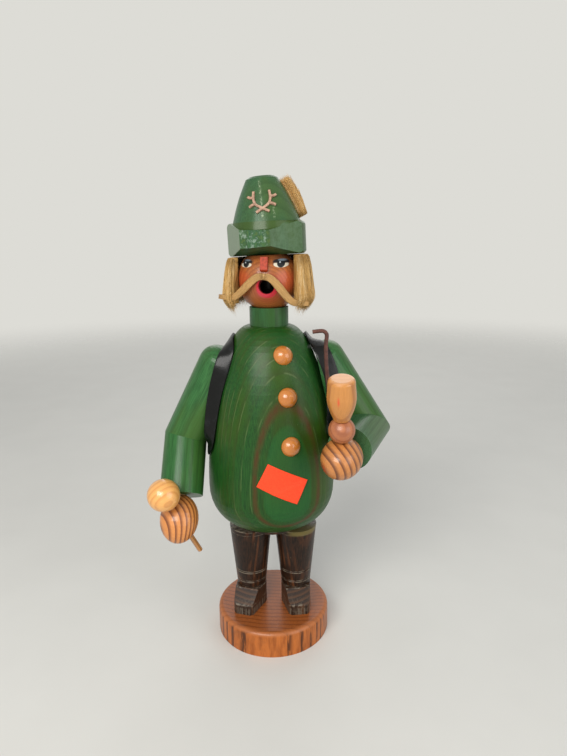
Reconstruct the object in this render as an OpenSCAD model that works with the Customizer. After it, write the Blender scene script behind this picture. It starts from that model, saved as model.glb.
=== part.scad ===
// Incense smoker: a turned wooden hunter whose hollow coat lifts off a seat with a cone tray.
// The figure faces -Y and its right hand is at -X. The origin is the centre of the base's underside.

/* [Base] */
// Diameter of the base disc
base_d = 63.4; // [60:0.2:80]
// Thickness of the base disc
base_h = 14.5; // [12:0.5:20]
// Radius of the rounded top edge of the base
base_edge = 2.6; // [1:0.1:4]

/* [Legs] */
// Distance of the right leg's centre from the middle
right_leg_x = 12.2; // [12:0.1:14]
// Distance of the left leg's centre from the middle
left_leg_x = 13.2; // [12.2:0.1:14]
// Height of each boot shaft above its shoe
boot_h = 36.3; // [30:0.1:45]
// Diameter of a boot shaft at its flat top
boot_top_d = 23.6; // [20:0.2:23.8]
// Diameter of a boot shaft at the ankle
boot_ankle_d = 16.4; // [14:0.2:18]
// Height of the turned waist above the ankle
boot_cuff_h = 11.5; // [10:0.5:13]
// Width of a turned groove
groove_w = 0.9; // [0.6:0.1:1.4]
// Depth of a turned groove
groove_depth = 0.5; // [0.3:0.1:0.8]
// Thickness of a shoe under its boot
shoe_h = 12.5; // [10:0.5:15]
// Height of a shoe's blunt toe face
toe_h = 5.6; // [3:0.2:7]
// Length of a shoe in front of the leg's centre
toe_reach = 15.6; // [12:0.2:18]
// Width of a shoe at its blunt toe
toe_w = 10.4; // [8:0.2:14]
// Width of a shoe at the ankle
shoe_w = 16.8; // [15:0.2:18]
// Outward turn of the right shoe
right_toe_out = 17; // [0:1:25]
// Outward turn of the left shoe
left_toe_out = 7; // [0:1:25]
// Diameter of the leg dowels
leg_dowel_d = 5; // [4:0.2:6]
// Depth of a leg dowel's hole in the base
foot_hole_depth = 8; // [5:0.5:10]
// Depth of a leg dowel's hole in a boot
boot_hole_depth = 12; // [8:0.5:14]
// Distance of each hip dowel from the middle
hip_dowel_x = 8.6; // [7:0.1:9.5]
// Depth of a hip dowel's hole in the seat plug
hip_hole_depth = 6.5; // [4:0.5:8]

/* [Seat] */
// Diameter of the seat plug's flange
flange_d = 28.4; // [27:0.2:32]
// Thickness of the seat plug's flange
flange_h = 4.4; // [3:0.1:6]
// Diameter of the seat plug's spigot inside the coat
seat_d = 24; // [22:0.2:25]
// Height of the seat plug's spigot
seat_h = 6.6; // [5:0.2:9]
// Radial clearance between the seat plug and the coat
seat_fit = 0.06; // [0.03:0.01:0.1]
// Diameter of the cone tray
tray_d = 19; // [15:0.5:20.5]
// Height of the cone tray's rim
tray_rim = 2.4; // [1.5:0.1:4]
// Thickness of the cone tray's sheet
tray_wall = 0.4; // [0.3:0.1:0.8]
// Diameter of the tray nail's head
nail_head_d = 3.6; // [3:0.2:5]
// Diameter of the tray nail's shank
nail_d = 1.4; // [1.2:0.1:2]
// Length of the tray nail's shank
nail_len = 5; // [3.5:0.5:6]

/* [Coat] */
// Height of the coat
coat_h = 108.8; // [100:0.2:120]
// Diameter of the coat at its widest
coat_d = 68.8; // [66:0.2:71]
// Height of the widest part above the coat's bottom
coat_widest = 22; // [18:0.5:26]
// Diameter of the coat at the neck
neck_d = 21; // [20.4:0.2:23]
// Diameter of the coat's flat bottom
coat_foot_d = 29; // [28:0.2:33]
// Bulge of the coat above its widest part
upper_bulge = 1.92; // [1.7:0.02:2.1]
// Bulge of the coat below its widest part
lower_bulge = 2.15; // [1.9:0.05:2.6]
// Height of the burning chamber inside the coat
chamber_h = 68; // [55:1:72]
// Diameter of the smoke flue above the chamber
flue_d = 9; // [7:0.2:10]

/* [Buttons] */
// Diameter of a button
button_d = 9.8; // [8:0.1:11]
// Height of a button's dome
button_rise = 3.4; // [2.5:0.1:4.5]
// Depth of the flat seat of a button
button_seat = 0.9; // [0.7:0.1:1.2]
// Heights of the three buttons as shares of the coat's height
button_heights = [0.886, 0.7022, 0.4816]; // [0.37:0.0001:0.9]
// Turn of the button row toward the figure's left
button_turn = 19; // [0:1:25]
// Diameter of a button's peg
button_peg_d = 2.4; // [2:0.1:3]
// Length of a button's peg
button_peg_len = 4; // [2.5:0.5:4.5]

/* [Arms] */
// Diameter of the arms
arm_d = 22.6; // [20:0.2:23]
// Length of an upper arm from the elbow to the shoulder's round end
upper_arm_len = 53.5; // [51:0.5:56]
// Roundness of the shoulder end
shoulder_round = 9; // [6:0.5:10]
// Length of a forearm from the elbow to the wrist
forearm_len = 31.8; // [31:0.2:36]
// Height of the right elbow as a share of the coat's height
right_elbow_h = 0.4476; // [0.423:0.0001:0.46]
// Distance of the right elbow's centre out from the coat's side
right_elbow_x = 12.93; // [12.90:0.01:13.93]
// Spread of the right upper arm from upright
right_spread = 26.5; // [25:0.5:28]
// Height of the left elbow as a share of the coat's height
left_elbow_h = 0.4835; // [0.46:0.0001:0.496]
// Distance of the left elbow's centre out from the coat's side
left_elbow_x = 19.34; // [18.34:0.01:21.34]
// Spread of the left upper arm from upright
left_spread = 32; // [31:0.5:33]
// Slope from upright of the flat where an arm is glued to the coat
flank_slope = 12.6; // [12:0.1:13.4]
// Depth of the flat planed on the coat's flank for an arm
flank_bed = 0.6; // [0.4:0.1:1]
// Downward slope of the right forearm
right_drop = 57; // [54:0.5:60]
// Inward turn of the left forearm
left_turn_in = 23.3; // [21:0.5:26]
// Downward slope of the left forearm
left_drop = 3; // [0:0.5:6]
// Thickness of an oval hand
hand_d = 19.8; // [18.6:0.2:20.4]
// Length of an oval hand
hand_len = 25; // [22:0.2:26]
// Depth of a hand's flat at the wrist
hand_flat = 0.3; // [0.2:0.1:0.6]
// Diameter of the arm dowels
arm_dowel_d = 5; // [4:0.2:6]
// Length of the arm dowels
arm_dowel_len = 14; // [10:0.5:15]

/* [Walking stick] */
// Diameter of the stick
stick_d = 2.8; // [2:0.1:3.5]
// Radial clearance of the stick in the hand
stick_fit = 0.06; // [0.03:0.01:0.1]
// Length of the stick below the hand's centre
stick_tail = 31.5; // [26:0.5:34]
// Slope of the stick below level
stick_drop = 57.5; // [56:0.5:60]
// Turn of the stick's tail away from straight ahead
stick_turn = 154; // [152:0.5:157]
// Diameter of the stick's knob
knob_d = 16.2; // [14:0.2:16.4]
// Depth of the stick's hole in the knob
knob_hole = 8; // [5:0.5:10]

/* [Pipe] */
// Diameter of the bead on the left hand
bead_d = 12.6; // [11:0.2:14]
// Depth to which bead and hand are flattened where they meet
bead_flat = 0.3; // [0.2:0.1:0.6]
// Height of the pipe bowl
bowl_h = 20.8; // [18:0.2:24]
// Diameter of the pipe bowl at its widest
bowl_d = 13.6; // [11:0.2:15]
// Diameter of the pipe bowl at its foot
bowl_foot_d = 7.6; // [6:0.2:9]
// Rounding of the pipe bowl's upper edge
bowl_edge = 1.8; // [1:0.1:2.4]
// Diameter of the dowel through bowl, bead and hand
pipe_dowel_d = 3; // [2.4:0.1:3.6]
// Diameter of the bent pipe stem
stem_d = 1.9; // [1.5:0.1:2.2]
// Forward tilt of the pipe
pipe_tilt = 13; // [10:0.5:15]

/* [Straps and rucksack] */
// Width of the leather straps
strap_w = 7.8; // [6.6:0.2:8]
// Thickness of the leather straps
strap_t = 0.8; // [0.6:0.05:0.85]
// Width of the rucksack
bag_w = 36; // [30:0.5:40]
// Height of the rucksack
bag_h = 37; // [32:0.5:42]
// Depth of the rucksack behind the coat's widest part
bag_depth = 11; // [8:0.5:14]
// Height of the rucksack's bottom above the coat's bottom
bag_z = 42; // [38:0.5:46]
// Thickness of the rucksack's flap
flap_t = 1.4; // [1:0.1:2]

/* [Head] */
// Height of the collar between coat and head
collar_h = 9.4; // [8:0.2:12]
// Diameter of the collar
collar_d = 20.2; // [18:0.2:20.4]
// Diameter of the collar's spigots
spigot_d = 12; // [10:0.2:13]
// Length of the collar's spigot in the coat
neck_spigot = 12; // [8:0.5:14]
// Length of the collar's spigot in the head
head_spigot = 4; // [3:0.2:5]
// Radial clearance of the neck spigot in the coat
neck_fit = 0.05; // [0.03:0.01:0.1]
// Diameter of the smoke bore through the collar
collar_bore_d = 7; // [6:0.2:8]
// Diameter of the head
head_d = 32; // [30:0.2:34]
// Height of the head up to the hat
head_h = 26.2; // [24:0.2:28]
// Diameter of the hollow in the head
head_hollow_d = 18; // [16:0.5:20]
// Height of the hollow in the head
head_hollow_h = 14; // [12:0.5:16]
// Diameter of the mouth hole
mouth_d = 6.8; // [6:0.1:8]
// Diameter of the mouth's flared rim
lips_d = 9.4; // [8:0.1:11]
// Height of the mouth above the collar
mouth_h = 11; // [9:0.2:12]
// Turn of the face toward the figure's right
face_turn = 6.5; // [-20:0.5:20]
// Width of the nose
nose_w = 3.6; // [2.5:0.1:5]
// Height of the nose
nose_h = 7.6; // [6:0.2:8]
// Reach of the nose out of the face
nose_reach = 2.2; // [1.5:0.1:3]
// Thickness of the moustache
moustache_t = 1.6; // [1:0.1:2.2]
// Width of the moustache band
moustache_w = 3; // [2:0.1:4]
// Span of the moustache from tip to tip
moustache_span = 44.8; // [43:0.2:46]
// Thickness of the hair at its lower edge
hair_t = 7.6; // [5:0.2:8]

/* [Hat] */
// Diameter of the hat's brim
brim_d = 39.8; // [39:0.1:44]
// Height of the brim
brim_h = 16; // [13:0.2:18]
// Height of the brim's front flat
band_h = 8; // [6:0.2:9]
// Shift of the brim toward the figure's right
brim_shift = 0.3; // [0:0.1:0.6]
// Slope of the bevels above and below the brim's front
bevel_slope = 18.3; // [14:0.1:20]
// Diameter of the crown where it leaves the brim
crown_d = 34; // [32:0.2:34.4]
// Diameter of the crown's top
crown_top_d = 15; // [12:0.2:20]
// Height of the crown above the brim
crown_h = 21.6; // [18:0.1:26]
// Bulge of the crown's side
crown_bulge = 0.7; // [0.4:0.1:2]
// Depth of the dowel's hole in the crown
crown_hole = 8; // [5:0.5:11]
// Depth of the dowel's hole in the head
head_hole = 4.6; // [3:0.2:5]
// Diameter of the hat's dowel
hat_dowel_d = 8; // [6:0.2:9]
// Turn of the hat toward the figure's right
hat_turn = 16.5; // [0:0.5:25]
// Lean of the hat toward the figure's right
hat_lean = 2.4; // [0:0.2:4]
// Extra lean of the crown
crown_lean = 3; // [0:0.2:4]
// Half the angle that the brim's front flat takes
front_flat_angle = 22.6; // [15:0.2:28]
// Distance of the brim's side flats from its axis
side_flat = 17.5; // [17.4:0.1:18.4]
// Width of the antler badge
badge_w = 14.6; // [10:0.2:16]
// Thickness of the antler badge
badge_t = 0.9; // [0.6:0.1:1.5]
// Stroke of the antler badge
badge_stroke = 1.1; // [0.8:0.1:1.6]
// Length of the hat's tuft
tuft_len = 21.5; // [16:0.5:22]
// Width of the hat's tuft
tuft_w = 7; // [5:0.2:8]

/* [Hidden] */
$fn = 72;

// The stand is root; the coat lifts off it, the head turns in the coat, the stick slides in the hand.

green = "#2f5d3a";
dark_green = "#1f4a31";
pine = "#d98a4a";
dark_brown = "#2b1a12";
fur = "#c9a26a";
leather = "#141414";

// Radial clearance of a glued dowel in its hole
dowel_fit = 0.05;
// Clearance between a soft part and its neighbour
soft_gap = 0.3;
// Clearance between the knob and what it rests on
rest_gap = 0.25;
// Overshoot of a cutting solid past the face that it cuts
cut = 1;
// Size of a block that stands for a half space
big = 150;

shoe_z = base_h;
boot_z = shoe_z + shoe_h;
flange_z = boot_z + boot_h;
seat_z = flange_z + flange_h;
coat_z = seat_z;
collar_z = coat_z + coat_h;
head_z = collar_z + collar_h;
hat_z = head_z + head_h;

// Unit vector with a heading from straight ahead toward +X and a drop below level
function aim(heading, drop) = [sin(heading) * cos(drop), -cos(heading) * cos(drop), -sin(drop)];
function unit(v) = v / norm(v);

// Places children with their +Z along v and their origin at p
module along(p, v) {
  translate(p)
    rotate([0, acos(v[2] / norm(v)), atan2(v[1], v[0])])
      children();
}

// Everything on the v side of point p
module half_space(p, v) {
  along(p, v)
    translate([-big / 2, -big / 2, 0])
      cube([big, big, big]);
}

// Dowel or its hole, centred on p and lying along v
module peg(p, v, d, length) {
  along(p, v)
    translate([0, 0, -length / 2])
      cylinder(d = d, h = length);
}

// Points of an arc around [x, y], from angle a to angle b
function arc(x, y, r, a, b, steps) =
  [for (i = [0:steps]) [x + r * cos(a + (b - a) * i / steps), y + r * sin(a + (b - a) * i / steps)]];

// Skin over rings that all have the same number of points
module skin(rings) {
  k = len(rings[0]);
  n = len(rings);
  points = [for (ring = rings) each ring];
  sides = [
    for (i = [0:n - 2], j = [0:k - 1])
      let (a = i * k + j, b = i * k + (j + 1) % k)
        each [[a, b, a + k], [b, b + k, a + k]]
  ];
  caps = [[for (j = [k - 1:-1:0]) j], [for (j = [0:k - 1]) (n - 1) * k + j]];
  polyhedron(points, concat(sides, caps));
}

// Point on a smooth curve through a list, after its point i by the share t
function curve_at(list, i, t) =
  let (
    n = len(list) - 1,
    a = list[max(i - 1, 0)],
    b = list[i],
    c = list[min(i + 1, n)],
    d = list[min(i + 2, n)]
  )
  0.5 * (2 * b + (c - a) * t + (2 * a - 5 * b + 4 * c - d) * t * t + (3 * b - a - 3 * c + d) * t * t * t);

function curve(list, steps) =
  [for (i = [0:len(list) - 2], k = [0:steps - 1]) curve_at(list, i, k / steps), list[len(list) - 1]];

// Direction of travel at point i of a route
function travel(route, i) = unit(route[min(i + 1, len(route) - 1)] - route[max(i - 1, 0)]);

// Base
module base_disc() {
  color(pine)
    difference() {
      rotate_extrude()
        polygon(concat(
          [[0, 0], [base_d / 2, 0]],
          arc(base_d / 2 - base_edge, base_h - base_edge, base_edge, 0, 90, 6),
          [[0, base_h]]
        ));
      for (x = [-right_leg_x, left_leg_x])
        translate([x, 0, base_h - foot_hole_depth])
          cylinder(d = leg_dowel_d + 2 * dowel_fit, h = foot_hole_depth + cut);
    }
}

// Legs
// A shoe's outline from above, with its toe toward -Y
module shoe_outline() {
  circle(d = shoe_w);
  polygon([
    [-shoe_w / 2, 0], [-toe_w / 2 - 0.6, -toe_reach + 1.6], [-toe_w / 2 + 1, -toe_reach],
    [toe_w / 2 - 1, -toe_reach], [toe_w / 2 + 0.6, -toe_reach + 1.6], [shoe_w / 2, 0]
  ]);
}

module shoe(x, turn) {
  color(dark_brown)
    translate([x, 0, shoe_z])
      rotate([0, 0, turn])
        difference() {
          intersection() {
            linear_extrude(shoe_h)
              shoe_outline();
            rotate([90, 0, -90])
              translate([0, 0, -shoe_w])
                linear_extrude(2 * shoe_w)
                  polygon([
                    [-shoe_w, 0], [toe_reach + cut, 0], [toe_reach + cut, toe_h],
                    [toe_reach, toe_h], [boot_ankle_d / 2 + 0.4, shoe_h], [-shoe_w, shoe_h]
                  ]);
          }
          translate([0, 0, -cut])
            cylinder(d = leg_dowel_d + 2 * dowel_fit, h = shoe_h + 2 * cut);
        }
}

module right_shoe() shoe(-right_leg_x, -right_toe_out);
module left_shoe() shoe(left_leg_x, left_toe_out);

function boot_r(z) = boot_ankle_d / 2 + (boot_top_d - boot_ankle_d) / 2 * z / boot_h;

// Profile points of a groove turned in a boot at height z
function groove(z) = [
  [boot_r(z - groove_w / 2), z - groove_w / 2],
  [boot_r(z) - groove_depth, z],
  [boot_r(z + groove_w / 2), z + groove_w / 2]
];

module boot(x, side) {
  color(dark_brown)
    difference() {
      translate([x, 0, boot_z])
        rotate_extrude()
          polygon(concat(
            [[0, 0], [boot_ankle_d / 2 - groove_depth, 0], [boot_r(groove_w / 2), groove_w / 2]],
            groove(boot_cuff_h / 3),
            groove(boot_cuff_h * 0.86),
            [[boot_top_d / 2, boot_h], [0, boot_h]]
          ));
      translate([x, 0, boot_z - cut])
        cylinder(d = leg_dowel_d + 2 * dowel_fit, h = boot_hole_depth + cut);
      translate([side * hip_dowel_x, 0, flange_z - boot_hole_depth])
        cylinder(d = leg_dowel_d + 2 * dowel_fit, h = boot_hole_depth + cut);
    }
}

module right_boot() boot(-right_leg_x, -1);
module left_boot() boot(left_leg_x, 1);

module foot_dowel(x) {
  color(pine)
    translate([x, 0, base_h - foot_hole_depth])
      cylinder(d = leg_dowel_d, h = foot_hole_depth + shoe_h + boot_hole_depth);
}

module right_foot_dowel() foot_dowel(-right_leg_x);
module left_foot_dowel() foot_dowel(left_leg_x);

module hip_dowel(x) {
  color(pine)
    translate([x, 0, flange_z - boot_hole_depth])
      cylinder(d = leg_dowel_d, h = boot_hole_depth + hip_hole_depth);
}

module right_hip_dowel() hip_dowel(-hip_dowel_x);
module left_hip_dowel() hip_dowel(hip_dowel_x);

// Seat and tray
module seat_plug() {
  color(dark_brown)
    difference() {
      union() {
        translate([0, 0, flange_z])
          cylinder(d = flange_d, h = flange_h);
        translate([0, 0, flange_z])
          cylinder(d = seat_d, h = flange_h + seat_h);
      }
      for (x = [-hip_dowel_x, hip_dowel_x])
        translate([x, 0, flange_z - cut])
          cylinder(d = leg_dowel_d + 2 * dowel_fit, h = hip_hole_depth + cut);
      translate([0, 0, seat_z + seat_h - nail_len])
        cylinder(d = nail_d + 2 * dowel_fit, h = nail_len + cut);
    }
}

module cone_tray() {
  color("silver")
    translate([0, 0, seat_z + seat_h])
      difference() {
        cylinder(d = tray_d, h = tray_rim);
        translate([0, 0, tray_wall])
          cylinder(d = tray_d - 2 * tray_wall, h = tray_rim);
        translate([0, 0, -cut])
          cylinder(d = nail_d + 2 * dowel_fit, h = tray_wall + 2 * cut);
      }
}

module tray_nail() {
  color("silver")
    translate([0, 0, seat_z + seat_h]) {
      translate([0, 0, -nail_len + 0.2])
        cylinder(d = nail_d, h = nail_len + tray_wall);
      translate([0, 0, tray_wall])
        cylinder(d = nail_head_d, h = 0.7);
    }
}

// Coat
// Radius of the coat at height h above its bottom
function coat_r(h) = h >= coat_widest
  ? (neck_d + (coat_d - neck_d) *
      pow(max(0, 1 - pow((h - coat_widest) / (coat_h - coat_widest), upper_bulge)), 1 / upper_bulge)) / 2
  : (coat_foot_d + (coat_d - coat_foot_d) *
      pow(max(0, 1 - pow((coat_widest - h) / coat_widest, lower_bulge)), 1 / lower_bulge)) / 2;

// Angle by which the coat's surface faces upward at height h
function coat_slope(h) = atan2(coat_r(h - 0.5) - coat_r(h + 0.5), 1);

// Height between a and b where the coat's surface faces upward by the angle s
function slope_height(s, a, b, n = 20) =
  n == 0 ? (a + b) / 2
  : coat_slope((a + b) / 2) < s ? slope_height(s, (a + b) / 2, b, n - 1)
  : slope_height(s, a, (a + b) / 2, n - 1);

// Outline of the coat from its bottom to its neck, moved out by the amount grow
function coat_outline(grow, lower_steps, upper_steps) = concat(
  [
    for (i = [0:lower_steps - 1])
      let (a = 90 * i / lower_steps)
        [
          grow + (coat_foot_d + (coat_d - coat_foot_d) * pow(sin(a), 2 / lower_bulge)) / 2,
          coat_widest * (1 - pow(cos(a), 2 / lower_bulge))
        ]
  ],
  [
    for (i = [0:upper_steps])
      let (a = 90 * i / upper_steps)
        [
          grow + (neck_d + (coat_d - neck_d) * pow(cos(a), 2 / upper_bulge)) / 2,
          coat_widest + (coat_h - coat_widest) * pow(sin(a), 2 / upper_bulge)
        ]
  ]
);

module coat_form(grow, lower_steps, upper_steps) {
  translate([0, 0, coat_z])
    rotate_extrude()
      polygon(concat([[0, 0]], coat_outline(grow, lower_steps, upper_steps), [[0, coat_h]]));
}

// Places children on the coat's surface, with their +Z outward
module on_coat(h, turn) {
  rotate([0, 0, turn])
    translate([0, -coat_r(h), coat_z + h])
      rotate([90 - coat_slope(h), 0, 0])
        children();
}

// Where an arm is glued to the coat's flank, for side -1 (right) or 1 (left)
flank_h = slope_height(flank_slope, coat_widest, 0.9 * coat_h);
function flank_out(side) = [side * cos(flank_slope), 0, sin(flank_slope)];
function flank_at(side) = [side * coat_r(flank_h), 0, coat_z + flank_h] - flank_bed * flank_out(side);

module coat() {
  bore_d = seat_d + 2 * seat_fit;
  cone_h = (bore_d - flue_d) / 2;
  color(green)
    difference() {
      coat_form(0, 10, 22);
      translate([0, 0, coat_z - cut])
        cylinder(d = bore_d, h = chamber_h + cut);
      translate([0, 0, coat_z + chamber_h - 0.01])
        cylinder(d1 = bore_d, d2 = flue_d, h = cone_h);
      translate([0, 0, coat_z + chamber_h])
        cylinder(d = flue_d, h = coat_h);
      translate([0, 0, coat_z + coat_h - neck_spigot - 0.5])
        cylinder(d = spigot_d + 2 * neck_fit, h = neck_spigot + cut);
      for (side = [-1, 1])
        half_space(flank_at(side), flank_out(side));
      for (side = [-1, 1])
        peg(flank_at(side), flank_out(side), arm_dowel_d + 2 * dowel_fit, arm_dowel_len);
      for (share = button_heights)
        on_coat(share * coat_h, button_turn) {
          translate([0, 0, -button_seat])
            cylinder(d = button_d + 4 * dowel_fit, h = button_seat + 3);
          translate([0, 0, -button_seat - button_peg_len])
            cylinder(d = button_peg_d + 2 * dowel_fit, h = button_peg_len + cut);
        }
    }
}

module button(share) {
  ball_r = (pow(button_d / 2, 2) + pow(button_rise, 2)) / (2 * button_rise);
  color("#b5651d")
    on_coat(share * coat_h, button_turn) {
      translate([0, 0, -button_seat])
        cylinder(d = button_d, h = button_seat);
      intersection() {
        translate([0, 0, button_rise - ball_r])
          sphere(r = ball_r);
        cylinder(r = ball_r, h = button_rise);
      }
      translate([0, 0, -button_seat - button_peg_len])
        cylinder(d = button_peg_d, h = button_peg_len + button_seat);
    }
}

module top_button() button(button_heights[0]);
module middle_button() button(button_heights[1]);
module bottom_button() button(button_heights[2]);

// Arms
// Distance of each elbow in front of the middle
right_elbow_front = 2;
left_elbow_front = 1;

// Centre of an elbow at a share of the coat's height and a distance out from the coat
function elbow_at(share, out, front, side) =
  [side * (coat_r(share * coat_h) + out), -front, coat_z + share * coat_h];

right_elbow = elbow_at(right_elbow_h, right_elbow_x, right_elbow_front, -1);
left_elbow = elbow_at(left_elbow_h, left_elbow_x, left_elbow_front, 1);
right_up = [sin(right_spread), 0, cos(right_spread)];
left_up = [-sin(left_spread), 0, cos(left_spread)];
right_fore = aim(-3.3, right_drop);
left_fore = aim(-left_turn_in, left_drop);
right_wrist = right_elbow + forearm_len * right_fore;
left_wrist = left_elbow + forearm_len * left_fore;
right_palm = right_wrist + (hand_len / 2 - hand_flat) * right_fore;
left_palm = left_wrist + (hand_len / 2 - hand_flat) * left_fore;

// An arm's bar from below the elbow to the round shoulder end
module arm_bar() {
  translate([0, 0, -arm_d])
    rotate_extrude()
      polygon(concat(
        [[0, 0], [arm_d / 2, 0]],
        arc(arm_d / 2 - shoulder_round, arm_d + upper_arm_len - shoulder_round, shoulder_round, 0, 90, 8),
        [[0, arm_d + upper_arm_len]]
      ));
}

module upper_arm(elbow, up, fore, side) {
  mitre = unit(up - fore);
  color(green)
    difference() {
      along(elbow, up)
        arm_bar();
      half_space(elbow, -mitre);
      half_space(flank_at(side), -flank_out(side));
      peg(elbow, mitre, arm_dowel_d + 2 * dowel_fit, arm_dowel_len);
      peg(flank_at(side), flank_out(side), arm_dowel_d + 2 * dowel_fit, arm_dowel_len);
    }
}

module forearm(elbow, up, fore) {
  mitre = unit(up - fore);
  color(green)
    difference() {
      along(elbow, fore)
        translate([0, 0, -arm_d])
          cylinder(d = arm_d, h = arm_d + forearm_len);
      half_space(elbow, mitre);
      peg(elbow, mitre, arm_dowel_d + 2 * dowel_fit, arm_dowel_len);
      peg(elbow + forearm_len * fore, fore, arm_dowel_d + 2 * dowel_fit, arm_dowel_len);
    }
}

// A turned oval hand with its flat on the wrist; a tool or a pipe passes along dir
module hand(wrist, palm, fore) {
  difference() {
    along(palm, fore)
      rotate_extrude()
        polygon([
          for (i = [0:18])
            let (a = -90 + 10 * i)
              [hand_d / 2 * cos(a), hand_len / 2 * sin(a)]
        ]);
    half_space(wrist, -fore);
    peg(wrist, fore, arm_dowel_d + 2 * dowel_fit, arm_dowel_len);
  }
}

module arm_dowel(p, v) {
  color(pine)
    peg(p, v, arm_dowel_d, arm_dowel_len);
}

module right_upper_arm() upper_arm(right_elbow, right_up, right_fore, -1);
module right_forearm() forearm(right_elbow, right_up, right_fore);
module right_shoulder_dowel() arm_dowel(flank_at(-1), flank_out(-1));
module right_elbow_dowel() arm_dowel(right_elbow, unit(right_up - right_fore));
module right_wrist_dowel() arm_dowel(right_wrist, right_fore);
module left_upper_arm() upper_arm(left_elbow, left_up, left_fore, 1);
module left_forearm() forearm(left_elbow, left_up, left_fore);
module left_shoulder_dowel() arm_dowel(flank_at(1), flank_out(1));
module left_elbow_dowel() arm_dowel(left_elbow, unit(left_up - left_fore));
module left_wrist_dowel() arm_dowel(left_wrist, left_fore);

// Walking stick
stick_dir = aim(stick_turn, stick_drop);
// Reach of the oval hand from its centre along a direction
function hand_reach(dir, fore) =
  let (c = dir * fore)
  1 / sqrt(pow(c / (hand_len / 2), 2) + (1 - c * c) / pow(hand_d / 2, 2));

module right_hand() {
  color(pine)
    difference() {
      hand(right_wrist, right_palm, right_fore);
      peg(right_palm, stick_dir, stick_d + 2 * stick_fit, 2 * hand_len);
    }
}

// Gap between the knob and the sleeve's rim when the knob's centre is at distance d from the palm
function rim_gap(d) =
  let (v = right_palm - d * stick_dir - right_wrist, a = v * right_fore, p = sqrt(v * v - a * a))
  norm([max(a, 0), max(p - arm_d / 2, 0)]) - knob_d / 2;

// Distance between a and b at which the knob just comes to rest on the hand or on the sleeve's rim
function rest_distance(a, b, n = 20) =
  let (d = (a + b) / 2, gap = min(d - hand_reach(stick_dir, right_fore) - knob_d / 2, rim_gap(d)))
  n == 0 ? b
  : gap < rest_gap ? rest_distance(d, b, n - 1)
  : rest_distance(a, d, n - 1);

knob_at = right_palm - rest_distance(hand_d / 2, 2 * hand_len) * stick_dir;
stick_top = knob_at + (knob_d / 2 - knob_hole) * stick_dir;

module stick_rod() {
  color(pine)
    along(stick_top, stick_dir)
      cylinder(d = stick_d, h = (right_palm - stick_top) * stick_dir + stick_tail);
}

module stick_knob() {
  color(pine)
    difference() {
      translate(knob_at)
        sphere(d = knob_d);
      along(stick_top, stick_dir)
        cylinder(d = stick_d + 2 * dowel_fit, h = knob_hole + cut);
    }
}

// Pipe
pipe_up = unit([-0.04, -sin(pipe_tilt), cos(pipe_tilt)]);
palm_seat = left_palm + (hand_reach(pipe_up, left_fore) - bead_flat) * pipe_up;
bead_at = palm_seat + (bead_d / 2 - bead_flat) * pipe_up;
bowl_at = bead_at + (bead_d / 2 - bead_flat) * pipe_up;
// Depths of the pipe dowel in the hand and in the bowl
palm_hole = 5;
bowl_hole = 7;
pipe_dowel_len = palm_hole + norm(bowl_at - palm_seat) + bowl_hole;

module pipe_dowel_form(extra) {
  along(palm_seat - palm_hole * pipe_up, pipe_up)
    cylinder(d = pipe_dowel_d + extra, h = pipe_dowel_len);
}

module left_hand() {
  color(pine)
    difference() {
      hand(left_wrist, left_palm, left_fore);
      half_space(palm_seat, pipe_up);
      pipe_dowel_form(2 * dowel_fit);
    }
}

// Clearance round the stem in the bead
stem_gap = 0.2;
// Stem bends from inside the bead, up behind the bowl and over to the mouthpiece, from the bead
stem_route = [
  for (p = [
    [-2, 3.4, 3], [-4.6, 7.8, 9.5], [-5.6, 8.8, 18], [-6.6, 8.8, 28], [-7, 8.8, 38], [-6.6, 8.8, 42.5],
    [-6.9, 8.8, 43.9], [-7.8, 8.8, 44.8], [-9.2, 8.8, 45.1], [-13.2, 8.8, 44.7]
  ]) bead_at + p
];

module stem_form(d) {
  route = curve(stem_route, 4);
  skin([
    for (i = [0:len(route) - 1])
      let (
        ahead = travel(route, i),
        across = unit(cross(ahead, [0, 1, 0])),
        out = cross(across, ahead)
      )
        [for (a = [0:36:324]) route[i] + d / 2 * (cos(a) * across + sin(a) * out)]
  ]);
}

module pipe_bead() {
  color("#b06a3c")
    difference() {
      translate(bead_at)
        sphere(d = bead_d);
      half_space(palm_seat, -pipe_up);
      half_space(bowl_at, pipe_up);
      pipe_dowel_form(2 * dowel_fit);
      along(stem_route[0], stem_route[1] - stem_route[0])
        translate([0, 0, -2 * stem_gap])
          cylinder(d = stem_d + 2 * stem_gap, h = bead_d);
    }
}

// Height of the bowl's widest part
bowl_widest = 0.56 * bowl_h;
bowl_mouth_r = bowl_d / 2 - 0.5;

module pipe_bowl() {
  color("#d9a066")
    difference() {
      along(bowl_at, pipe_up)
        rotate_extrude()
          polygon(concat(
            [[0, 0]],
            [
              for (i = [0:7])
                [bowl_foot_d / 2 + (bowl_d - bowl_foot_d) / 2 * sin(90 * i / 7), bowl_widest * i / 7]
            ],
            arc(bowl_mouth_r - bowl_edge, bowl_h - bowl_edge, bowl_edge, 0, 90, 5),
            [[0, bowl_h]]
          ));
      pipe_dowel_form(2 * dowel_fit);
    }
}

module pipe_dowel() {
  color(pine)
    pipe_dowel_form(0);
}

module pipe_stem() {
  color("#5a3a2a")
    stem_form(stem_d);
}

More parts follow.
